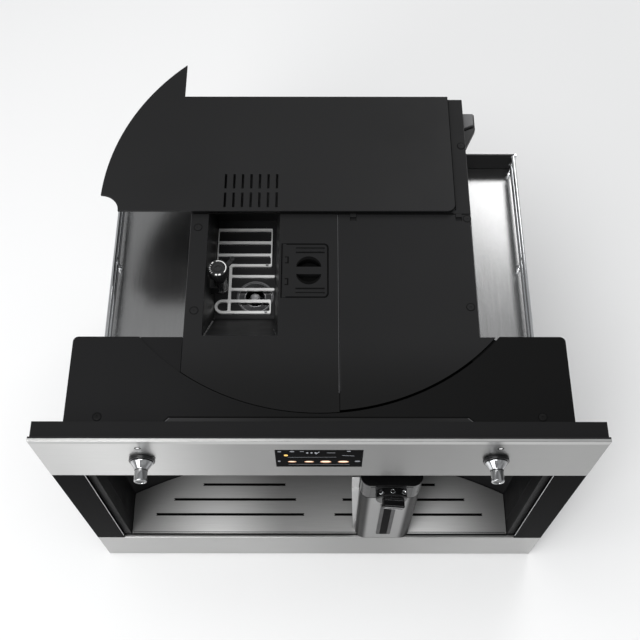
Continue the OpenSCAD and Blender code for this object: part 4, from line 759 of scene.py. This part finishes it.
build("grind_dial_moulding", [dial_body, dial_stem] + ribs, satin_plastic, "black_plastic", "dial", "grind_dial",
      angle=35)


def around(centre, radius, turn, z):
    return spot(centre[0] + radius * cos(turn), centre[1] + radius * sin(turn), z)


def arc_outline(centre, z, r0, r1, start, stop, steps):
    turns = [radians(start + (stop - start) * i / steps) for i in range(steps + 1)]
    return [around(centre, r1, t, z) for t in turns] + [around(centre, r0, t, z) for t in reversed(turns)]


white_ink = surface("white_print", (0.66, 0.66, 0.65), (0.82, 0.82, 0.81), 300.0, (90.0, 0.4, 0.55))
print_spans = [(-40, 108, 8.7, 9.5, 20), (-68, -84, 8.3, 10.1, 3), (-92, -108, 8.3, 10.1, 3), (128, 144, 8.7, 9.7, 3)]
print_spans += [(a, a + 3, 8.3, 10.2, 1) for a in (158, 174, 190, 206, 222)]
dial_prints = [plate(arc_outline(dial_centre, 432.0, r0, r1, a, b, n), deep(0, 0, 0.05))
               for a, b, r0, r1, n in print_spans]
build("grind_dial_print", dial_prints, white_ink, "black_plastic", "dial")


# The grinder has a die cast housing, a hardened upper burr with cut teeth and a conical
# lower burr on the motor shaft. The motor is bolted on from below.
def cast_metal(name, dark, light, metal, rough_low, rough_high, grain):
    return surface(name, dark, light, 30.0, (60.0, rough_low, rough_high), (600.0, 0.0001, grain, 4.0), metal=metal)


def pick_vertices(piece, test):
    pick(piece)
    enter("EDIT")
    bpy.ops.mesh.select_mode(type="VERT")
    mark("DESELECT")
    enter("OBJECT")
    for vertex in piece.data.vertices:
        vertex.select = test(vertex.co)
    enter("EDIT")


cast_grey = cast_metal("cast_grey", (0.13, 0.13, 0.135), (0.2, 0.2, 0.205), 0.6, 0.45, 0.62, 0.5)
burr_steel = cast_metal("hard_burr_steel", (0.3, 0.3, 0.31), (0.42, 0.42, 0.43), 1.0, 0.22, 0.36, 0.2)
motor_coat = cast_metal("motor_grey_coat", (0.26, 0.26, 0.27), (0.34, 0.34, 0.35), 0.7, 0.34, 0.46, 0.3)
burr_centre = (-78, 226)
dress("grinder_housing", cast_grey, "black_plastic", 0.0007)
upper_steel = cast_metal("upper_burr_steel", (0.05, 0.05, 0.052), (0.11, 0.11, 0.113), 1.0, 0.22, 0.34, 0.2)
dress("upper_burr", upper_steel, "burr_steel", 0.0008)
# The upper burr is a much darker copy of the burr steel, and two bright rings on it are painted highlights on its
# edges.
burr_highlight_rings = [turned(washer(12.05, 12.9, 0.3), spot(*burr_centre, 344.1), 64),
              turned(washer(19.6, 20.2, 0.25), spot(*burr_centre, 344.1), 64)]
build("upper_burr_highlight_rings", burr_highlight_rings, bright_steel, "burr_steel", angle=30)
cone = dress("lower_burr", burr_steel, "burr_steel", 0.0004, "lower_burr")
pick_vertices(cone, lambda place: place.z < spot(0, 0, 261).z)
bpy.ops.transform.translate(value=deep(0, 0, 1.4))
enter("OBJECT")
dress("grinder_motor", motor_coat, "motor_grey", 0.0012, segments=3)


def burr_teeth(name, count, r0, r1, z0, z1, rise, lead, material, body):
    teeth = []
    for i in range(count):
        a = 2 * pi * i / count
        teeth.append(plate([around(burr_centre, r0, a, z0), around(burr_centre, r1, a + lead, z1),
                            around(burr_centre, r1, a + lead + 0.09, z1),
                            around(burr_centre, r0, a + 1.1 / r1, z0)], deep(0, 0, rise)))
    return build(name, teeth, material, "burr_steel", body)


burr_teeth("upper_burr_teeth", 20, 12.9, 19.4, 344.0, 344.0, 0.7, 0.22, upper_steel, "machine")
burr_teeth("lower_burr_teeth", 8, 6.2, 11.0, 343.2, 329.0, 0.9, 0.7, burr_steel, "lower_burr")
build("lower_burr_bolt", [turned([(0, 0), (4.8, 0), (4.8, 0.8), (4.2, 1.4), (2.4, 1.4), (2.4, 0.6), (0, 0.6)],
                                 spot(*burr_centre, 343.4), 24)], bright_steel, "burr_steel", "lower_burr", angle=30)
motor_bands = [turned(washer(25, 25.6, 6, 0.3), spot(*burr_centre, z), 64) for z in (196, 224, 252)]
build("grinder_motor_bands", motor_bands, bright_steel, "motor_grey", angle=30)


# The chute below the small lid is moulded in black. The lid is a black moulding with two thin grooves on each side of
# its round finger cup and a groove round its edge; the deep black strips in these grooves are painted shade.
dress("ground_chute", satin_plastic, "black_plastic", 0.0004)
dress("ground_lid", deck_black_painted_shade, "black_paint", 0.0004, "ground_lid")
# Deep black strips in the grooves beside the finger cup and round the notches at the lid's left are painted shade.
lid_groove_shade = [slab(-26.6, 6.0, y, y + 1.15, 440.5, 0.06) for y in (179.6, 185.3, 231.9, 237.6)]
for low, high in ((190.2, 199.0), (218.2, 227.2)):
    lid_groove_shade += [slab(x0, x1, y0, y1, 440.0, 0.06) for x0, x1, y0, y1 in
                  ((-36.2, -34.6, low, high), (-38.9, -36.2, low, low + 1.2), (-38.9, -36.2, high - 1.2, high))]
build("ground_lid_groove_shade", lid_groove_shade, deep_black, "black_paint", "ground_lid")
lid_x, lid_r, cup_centre, edge_shade_w = 5.0, 4.9, (-12, 209.2), 1.3
corner = [radians(a) for a in (15, 30, 45, 60, 75)]
outer = [(-37.6, 243.9), (lid_x, 243.9)] + [(lid_x + lid_r * sin(a), 239.0 + lid_r * cos(a)) for a in corner]
outer += [(9.9, 239.0), (9.9, 179.4)] + [(lid_x + lid_r * cos(a), 179.4 - lid_r * sin(a)) for a in corner]
outer += [(lid_x, 174.5), (-37.6, 174.5)]
inner = []
for x, y in outer:
    pull = (edge_shade_w if y < cup_centre[1] else -edge_shade_w) if abs(y - cup_centre[1]) > 30 else 0
    inner.append((min(x - edge_shade_w * max(x - lid_x, 0) / lid_r, 8.6), y + pull))
# A deep black arc laid in the gap round the core's deck is painted shade in that gap.
build("core_seam_shade", [plate(arc_outline((0, 295), 436.0, 255.2, 258.3, -50, -41.8, 8), deep(0, 0, 0.6))],
      deep_black, "black_paint")
# A deep black band round the top, right and bottom edges of the small lid, none on its left, is painted shade in the
# groove round it.
build("ground_lid_edge_shade", [level_plate(440.0, 0.05, *outer, *reversed(inner))], deep_black, "black_paint",
      "ground_lid")
# The deep black floor and wall lining of the finger cup, and the dark crescents on the lid round its rim, are painted
# shade in and round the cup.
cup_shade = [plate(arc_outline(cup_centre, 431.0, 0.4, 14.7, start, stop, 16), deep(0, 0, 0.1))
             for start, stop in ((22, 158), (202, 338))]
cup_shade.append(turned(washer(14.5, 14.95, 8.85), spot(*cup_centre, 431.1), 64))
for start in (24, 204):
    turns = [radians(start + 132 * i / 24) for i in range(25)]
    shadow_crescent_points = [around(cup_centre, 14.9, t, 440.0) for t in turns]
    shadow_crescent_points += [spot(cup_centre[0] + 15.3 * cos(t), cup_centre[1] + 18.2 * sin(t), 440.0)
                   for t in reversed(turns)]
    cup_shade.append(plate(shadow_crescent_points, deep(0, 0, 0.06)))
build("ground_lid_cup_shade", cup_shade, deep_black, "black_paint", "ground_lid")


# The brew unit is a cast frame with a steel piston. The piston carries a rubber ring and
# a fine steel sieve on top.
dress("brew_frame", cast_grey, "motor_grey", 0.0008)
dress("brew_piston", bright_steel, "motor_grey", 0.0005, "piston")
build("brew_piston_ring", [turned(washer(19.0, 19.96, 2.4, 0.4), spot(-12, 209, 199), 56)], satin_plastic,
      "motor_grey", "piston", angle=30)
build("brew_piston_sieve", [turned([(0, 0), (17.6, 0), (17.6, 0.3), (16.8, 0.5), (3.0, 0.5), (2.6, 0.9), (0, 0.9)],
                                   spot(-12, 209, 204), 56)], burr_steel, "motor_grey", "piston", angle=30)


# The water tank is a clear moulding in a black cradle, with level strokes down its right
# side, and it hangs from the hinge of its own lid in the top of the machine.
def side_plate(x, depth, *points):
    return plate([spot(x, y, z) for y, z in points], deep(depth, 0, 0))


clear_plastic = surface("clear_plastic", (0.24, 0.28, 0.30), (0.33, 0.37, 0.39), 10.0, (20.0, 0.08, 0.16),
                        (50.0, 0.0002, 0.15, 4.0))
clear_tree = clear_plastic.node_tree
clear_tree.links.new(vary(clear_tree, 6.0, 0.42, 0.52), clear_tree.nodes["Principled BSDF"].inputs["Alpha"])
dress("tank_cradle", satin_plastic, "black_plastic", 0.0004)
dress("water_tank", clear_plastic, "clear_plastic", 0.0006, "tank")
dress("tank_lid", deck_black_painted_shade, "black_paint", 0.0008, "tank_lid", segments=3)
build("tank_lid_edge", [slab(21.8, 23.4, 62, 282, 440.0, 0.06)], ledge_coat, "black_paint", "tank_lid")
lug_caps = [slab(x - 0.46, x + 6.46, y0, y1, z, rise)
            for y0, y1, z, rise in ((279.5, 284.0, 438.2, 3.3), (275.3, 280.6, 437.9, 0.6)) for x in (36, 158)]
build("tank_lug_caps", lug_caps, deck_black_painted_shade, "clear_plastic", "tank", edge=0.0003)
levels = [side_plate(167.02, 0.06, (190, z), (end, z), (end, z + 0.9), (190, z + 0.9))
          for z, end in zip(range(310, 425, 14), (215, 205) * 5)]
build("tank_level_strokes", levels, white_ink, "clear_plastic", "tank")


# The boiler is a brazed copper vessel with two pressed steel straps, and the pump is a
# vibration pump with a wound coil between two end plates.
copper = cast_metal("brazed_copper", (0.42, 0.20, 0.10), (0.62, 0.32, 0.17), 1.0, 0.24, 0.42, 0.2)
dress("boiler", copper, "burr_steel", 0.002, segments=3)
dress("pump", motor_coat, "motor_grey", 0.0012)
straps = [turned(washer(34, 34.7, 8, 0.2), spot(-90, 400.5, z), 64) for z in (182, 268)]
build("boiler_straps", straps, bright_steel, "burr_steel", angle=30)
coil = [turned(washer(22, 22.9, 2.1, 0.5), spot(-22 + 2.6 * i, 400.5, 45), 40, (1, 0, 0)) for i in range(14)]
build("pump_coil", coil, copper, "motor_grey", angle=30)


# The pipes are white fluorocarbon tube. Brass nuts join them to the tank, the pump, the
# boiler and the brew chamber.
white_tube = surface("white_tube", (0.54, 0.54, 0.51), (0.68, 0.68, 0.65), 20.0, (30.0, 0.3, 0.42))
dress("water_pipes", white_tube, "tube_white", 0.0002)
brass = cast_metal("brass_nut", (0.50, 0.36, 0.14), (0.68, 0.50, 0.22), 1.0, 0.24, 0.4, 0.2)
nut_profile = [(3.3, 0), (6.4, 0), (6.9, 0.8), (6.9, 5.2), (6.4, 6), (3.3, 6), (3.3, 0)]
down, left, right = (0, 0, -1), (-1, 0, 0), (1, 0, 0)
nuts = [turned(nut_profile, spot(x, y, z), 6, axis) for x, y, z, axis in (
    (100, 212.5, 283.0, down), (61, 400.5, 45, right), (-41, 400.5, 45, left), (-90, 400.5, 169, down),
    (-90, 400.5, 291, up), (-12, 240, 236, back))]
build("pipe_nuts", nuts, brass, "tube_white", edge=0.0003)


# The side shelves are brushed steel sheet with a dark liner on their back wall. Two
# chromed rods on posts fence off each shelf, with a cap on every rod end.
shelf_steel = brushed("shelf_steel", (0.36, 0.36, 0.36), along, 0.16, 0.28)
for node, metal, slot in (("shelf_", shelf_steel, "brushed_steel"), ("rail_", chrome, "chrome")):
    for side in ("left", "right"):
        dress(node + side, metal, slot, 0.0003)
caps = [turned([(0, 0), (2.9, 0), (2.9, 1.2), (2.2, 2.0), (0, 2.2)], spot(sign * 250, y, z), 24, axis)
        for sign in (-1, 1) for z in (345, 360) for y, axis in ((127.6, forward), (423.4, back))]
foot_profile = [(2.0, 0), (4.2, 0), (4.2, 0.8), (3.0, 1.8), (2.0, 2.2), (2.0, 0)]
post_feet = [turned(foot_profile, spot(sign * 250, y, 330), 28) for sign in (-1, 1) for y in (130.1, 275.6, 421)]
build("rail_end_caps", caps, chrome, "chrome", angle=30)
build("rail_post_feet", post_feet, chrome, "chrome", angle=30)
liners = [slab(x0, x1, 427.9, 430.4, 330.4, 28.3) for x0, x1 in ((176, 253), (-253, -149))]
build("shelf_wall_liners", liners, satin_plastic, "brushed_steel", edge=0.0004)
corner_posts = [turned([(0, 0), (2.0, 0), (2.0, 28.6), (1.4, 29.2), (0, 29.2)], spot(sign * 253.6, 428.6, 330), 24)
                for sign in (-1, 1)]
build("shelf_corner_posts", corner_posts, chrome, "brushed_steel", angle=30)
side_cladding = [side_plate(x, depth, (126.5, 330.2), (428, 330.2), (428, top), (126.5, top))
                 for x, depth, top in ((-148.05, -0.35, 435.4), (175.05, 0.35, 412))]
build("shelf_side_cladding", side_cladding, steel_along, "brushed_steel", edge=0.0001)


# The drip tray and the grounds bin are moulded in black and slide out with the steel front. The grille lies in the
# bay; the deep black strips in its slots and along its front are painted shade in those gaps.
for node in ("tray_basin", "grounds_bin"):
    dress(node, satin_plastic, "black_plastic", 0.0008, "drawer")
# The grille's steel is a lighter, less metallic copy with painted highlights: two bright bands across it and a fade
# from its bright front to its back.
grille_steel_painted_light = paint_light_ramp(brushed("grille_steel_painted_light", (0.95, 0.95, 0.94), across, 0.3, 0.42), (-0.2525, 0.2525),
                       [(0.0, 0.22), (0.23, 0.8), (0.42, 0.36), (0.6, 0.38), (0.76, 0.9), (1.0, 0.2)])
paint_light_ramp(grille_steel_painted_light, (-0.236, -0.131), [(0.0, 1.0), (1.0, 0.42)], "Y")
adjust(grille_steel_painted_light, "Metallic", 0.3)
dress("tray_grille", grille_steel_painted_light, "brushed_steel", 0.00015, "drawer")
# Deep black strips in the slots and along the front of the grille: painted shade in those gaps.
grille_slot_shade = [slab(-250, 250, 5.05, 6.1, 81.8, 2.05),
                slab(-250, 250, 7.4, 8.2, 84.0, 0.15)]
for y, x0, x1 in ((32.05, 21.0, 220.9), (52.98, 32.1, 198.0), (74.03, 47.0, 159.1)):
    for sign in (-1, 1):
        for side_y in (y - 1.1, y + 0.75):
            grille_slot_shade.append(slab(sign * x0, sign * x1, side_y, side_y + 0.35, 81.55, 2.4))
        for side_y in (y - 1.75, y + 1.05):
            grille_slot_shade.append(slab(sign * (x0 - 0.6), sign * (x1 + 0.6), side_y, side_y + 0.7, 84.0, 0.08))
build("grille_slot_shade", grille_slot_shade, deep_black, "brushed_steel", "drawer")
ribs = [slab(x - 0.8, x + 0.8, 7.5, 109.5, 13.8, 1.6) for x in range(-220, 221, 40)]
build("tray_basin_ribs", ribs, satin_plastic, "black_plastic", "drawer", edge=0.0004)


# The milk jug is drawn from brushed steel. A grey carrier with a black glass strip is
# clipped over its level slot, and its handle is covered by a bright shell.
# The jug's steel carries painted reflections: bright faces with dark bands at its rounded corners, across the jug
# from left to right.
jug_steel_painted_reflections = paint_light_ramp(brushed("jug_steel_painted_reflections", (0.66, 0.66, 0.66), upright, 0.24, 0.36), (0.030, 0.120),
                    [(0.0, 0.95), (0.195, 0.9), (0.21, 0.05), (0.29, 0.05), (0.37, 0.66), (0.81, 0.66), (0.885, 0.05),
                     (1.0, 0.04)])
adjust(jug_steel_painted_reflections, "Specular Tint", (0.6, 0.6, 0.6, 1))
jug = dress("jug_body", jug_steel_painted_reflections, "brushed_steel", 0.0008, "jug", segments=3)
pick_vertices(jug, lambda place: place.x < 0.0470)
bpy.ops.transform.resize(value=(0.74, 1, 1), center_override=(0.0476, 0, 0))
enter("OBJECT")


def rounded(x0, x1, y0, y1, r, steps):
    points = []
    for x, y, start in ((x1 - r, y1 - r, 0), (x0 + r, y1 - r, 90), (x0 + r, y0 + r, 180), (x1 - r, y0 + r, 270)):
        turns = [radians(start + 90.0 * i / steps) for i in range(steps + 1)]
        points += [(x + r * cos(turn), y + r * sin(turn)) for turn in turns]
    return points


def rounded_plate(x0, x1, z0, z1, r, y, thick):
    return plate(front_outline(y, *rounded(x0, x1, z0, z1, r, 5)), deep(0, -thick, 0))


carrier_grey = moulded("carrier_grey_plastic", (0.03, 0.03, 0.031), (0.042, 0.042, 0.043), 0.34, 0.46, 0.1, 0.12)
build("jug_level_carrier", [rounded_plate(74.6, 93.4, 107.0, 234.5, 2.6, -0.65, 0.35)], carrier_grey, "brushed_steel",
      "jug", edge=0.0001)
build("jug_level_strip", [rounded_plate(79.2, 88.6, 109.5, 232.0, 1.6, -1.0, 0.3)], black_glass, "brushed_steel",
      "jug", edge=0.0001)
build("jug_seam_ring", [level_plate(262.2, 0.75, *rounded(47.8, 120.2, 0.3, 99.7, 12.2, 8))], deep_black,
      "brushed_steel", "jug", edge=0.0001)
build("jug_handle_shell", [front_plate(12.2, 0.9, (47.6, 88), (45.0, 88), (39.0, 255), (47.6, 255))], jug_steel_painted_reflections,
      "brushed_steel", "jug", edge=0.0003)
build("jug_handle_top", [front_plate(12.4, 18, (47.9, 253), (39.1, 253), (38.7, 262.4), (47.9, 262.4))], jug_steel_painted_reflections,
      "brushed_steel", "jug", edge=0.0004)


# The jug's lid is moulded in glossy black; a lighter grey plate on its front is a painted reflection, and a bright
# strip on its left corner is a painted highlight. The milk spout and the stem of the froth dial are chromed.
lid_gloss = moulded("lid_gloss_plastic", (0.004, 0.004, 0.0042), (0.0065, 0.0065, 0.0068), 0.14, 0.22, 0.04, 0.2)
dress("jug_lid", lid_gloss, "black_plastic", 0.0016, "jug_lid", segments=4)
# A lighter grey plate on the lid's front: painted reflection.
lid_front_sheen = moulded("lid_front_sheen_coat", (0.02, 0.02, 0.021), (0.03, 0.03, 0.031), 0.16, 0.24, 0.05, 0.12)
front_sheen_plate = rounded_plate(59.5, 108.5, 264.5, 303.0, 2.0, 0.45, 0.35)
build("jug_lid_front_sheen", [front_sheen_plate], lid_front_sheen, "black_plastic", "jug_lid", edge=0.0001)
build("jug_lid_handle", [front_plate(12.4, 18, (47.9, 263.4), (38.7, 263.4), (38.0, 301), (47.9, 301))], jug_steel_painted_reflections,
      "black_plastic", "jug_lid", edge=0.001, segments=3)
# A bright strip on the lid's left corner: painted highlight.
lid_corner_highlight = plate(arc_outline((60.6, 13.1), 304.6, 0.93 * 12.3, 12.3, 150, 270, 8), deep(0, 0, 1.2))
build("jug_lid_corner_highlight", [lid_corner_highlight], bright_steel, "black_plastic", "jug_lid")
build("milk_spout_sleeve", [turned(washer(4.05, 4.6, 9.0, 0.4), spot(35, 59.9, 280), 32)], chrome, "black_plastic",
      "jug_lid", angle=30)
build("milk_spout_collar", [turned(washer(4.05, 5.4, 3.6, 0.4), spot(47.6, 59.9, 291.2), 32, (-1, 0, 0))], chrome,
      "black_plastic", "jug_lid", angle=30)


# The froth dial is a glossy black disc with a slanting grip. Two small bright rings mark
# its settings, and a chromed pin shows where it points.
froth_x, froth_z, froth_r = 84, 285.8, 18.4
froth_disc = turned([(0, 0), (17.6, 0), (18.4, 0.9), (18.4, 8.0), (17.2, 9.2), (15.0, 9.5), (0, 9.5)],
                    spot(froth_x, -0.3, froth_z), 80, forward)
froth_stem = turned([(0, 0), (2.9, 0), (2.9, 11.0), (2.5, 11.4), (0, 11.4)], spot(froth_x, -0.3, froth_z), 32, back)
tilt = radians(-14)


def on_grip(along, shift):
    return (86 + along * cos(tilt) - shift * sin(tilt), 285.4 + along * sin(tilt) + shift * cos(tilt))


grip_corners = ((-12.6, -3.9), (12.6, -4.8), (12.6, 4.8), (-12.6, 3.9))
froth_grip = front_plate(-9.4, -9.7, *(on_grip(*corner) for corner in grip_corners))
soften(froth_grip, 0.0012, 4)
build("froth_dial_finished", [froth_disc, froth_stem, froth_grip], lid_gloss, "black_plastic", "froth_dial",
      "froth_dial", angle=30)
rings = []
ring_profile = [(1.6, -1.4), (2.9, -1.4), (2.9, 0.2), (2.6, 0.4), (1.9, 0.4), (1.6, 0.2), (1.6, -1.4)]
for a, axis in ((radians(88), up), (radians(43), (0.4, 0, 0.9165))):
    place = spot(froth_x + froth_r * cos(a), -4.2, froth_z + froth_r * sin(a))
    rings.append(turned(ring_profile, place, 28, axis))
a, pin_r = radians(130), 18.3
rings.append(turned([(0, -0.3), (3.1, -0.3), (3.1, 1.4), (2.3, 2.3), (0, 2.5)],
                    spot(froth_x + pin_r * cos(a), -4.2, froth_z + pin_r * sin(a)), 28, (cos(a), 0, sin(a))))
build("froth_dial_rings", rings, chrome, "black_plastic", "froth_dial", angle=30)
# Bright strips along the grip's edges are painted highlights.
grip_highlights = []
for sign in (-1, 1):
    ends = on_grip(-11.0, sign * 2.3) + on_grip(11.0, sign * 3.2)
    grip_highlights.append(plate(stroke_outline(*ends, 1.0, -19.0), deep(0, -0.25, 0)))
(xa, za), (xb, zb) = on_grip(-11.2, 3.9), on_grip(11.2, 4.7)
for y0, y1 in ((-17.9, -17.1), (-11.0, -10.5)):
    grip_highlights.append(plate([spot(xa, y0, za), spot(xb, y0, zb), spot(xb, y1, zb), spot(xa, y1, za)],
                            deep(0.05, 0, 0.25)))
build("froth_dial_grip_highlights", grip_highlights, bright_steel, "black_plastic", "froth_dial")
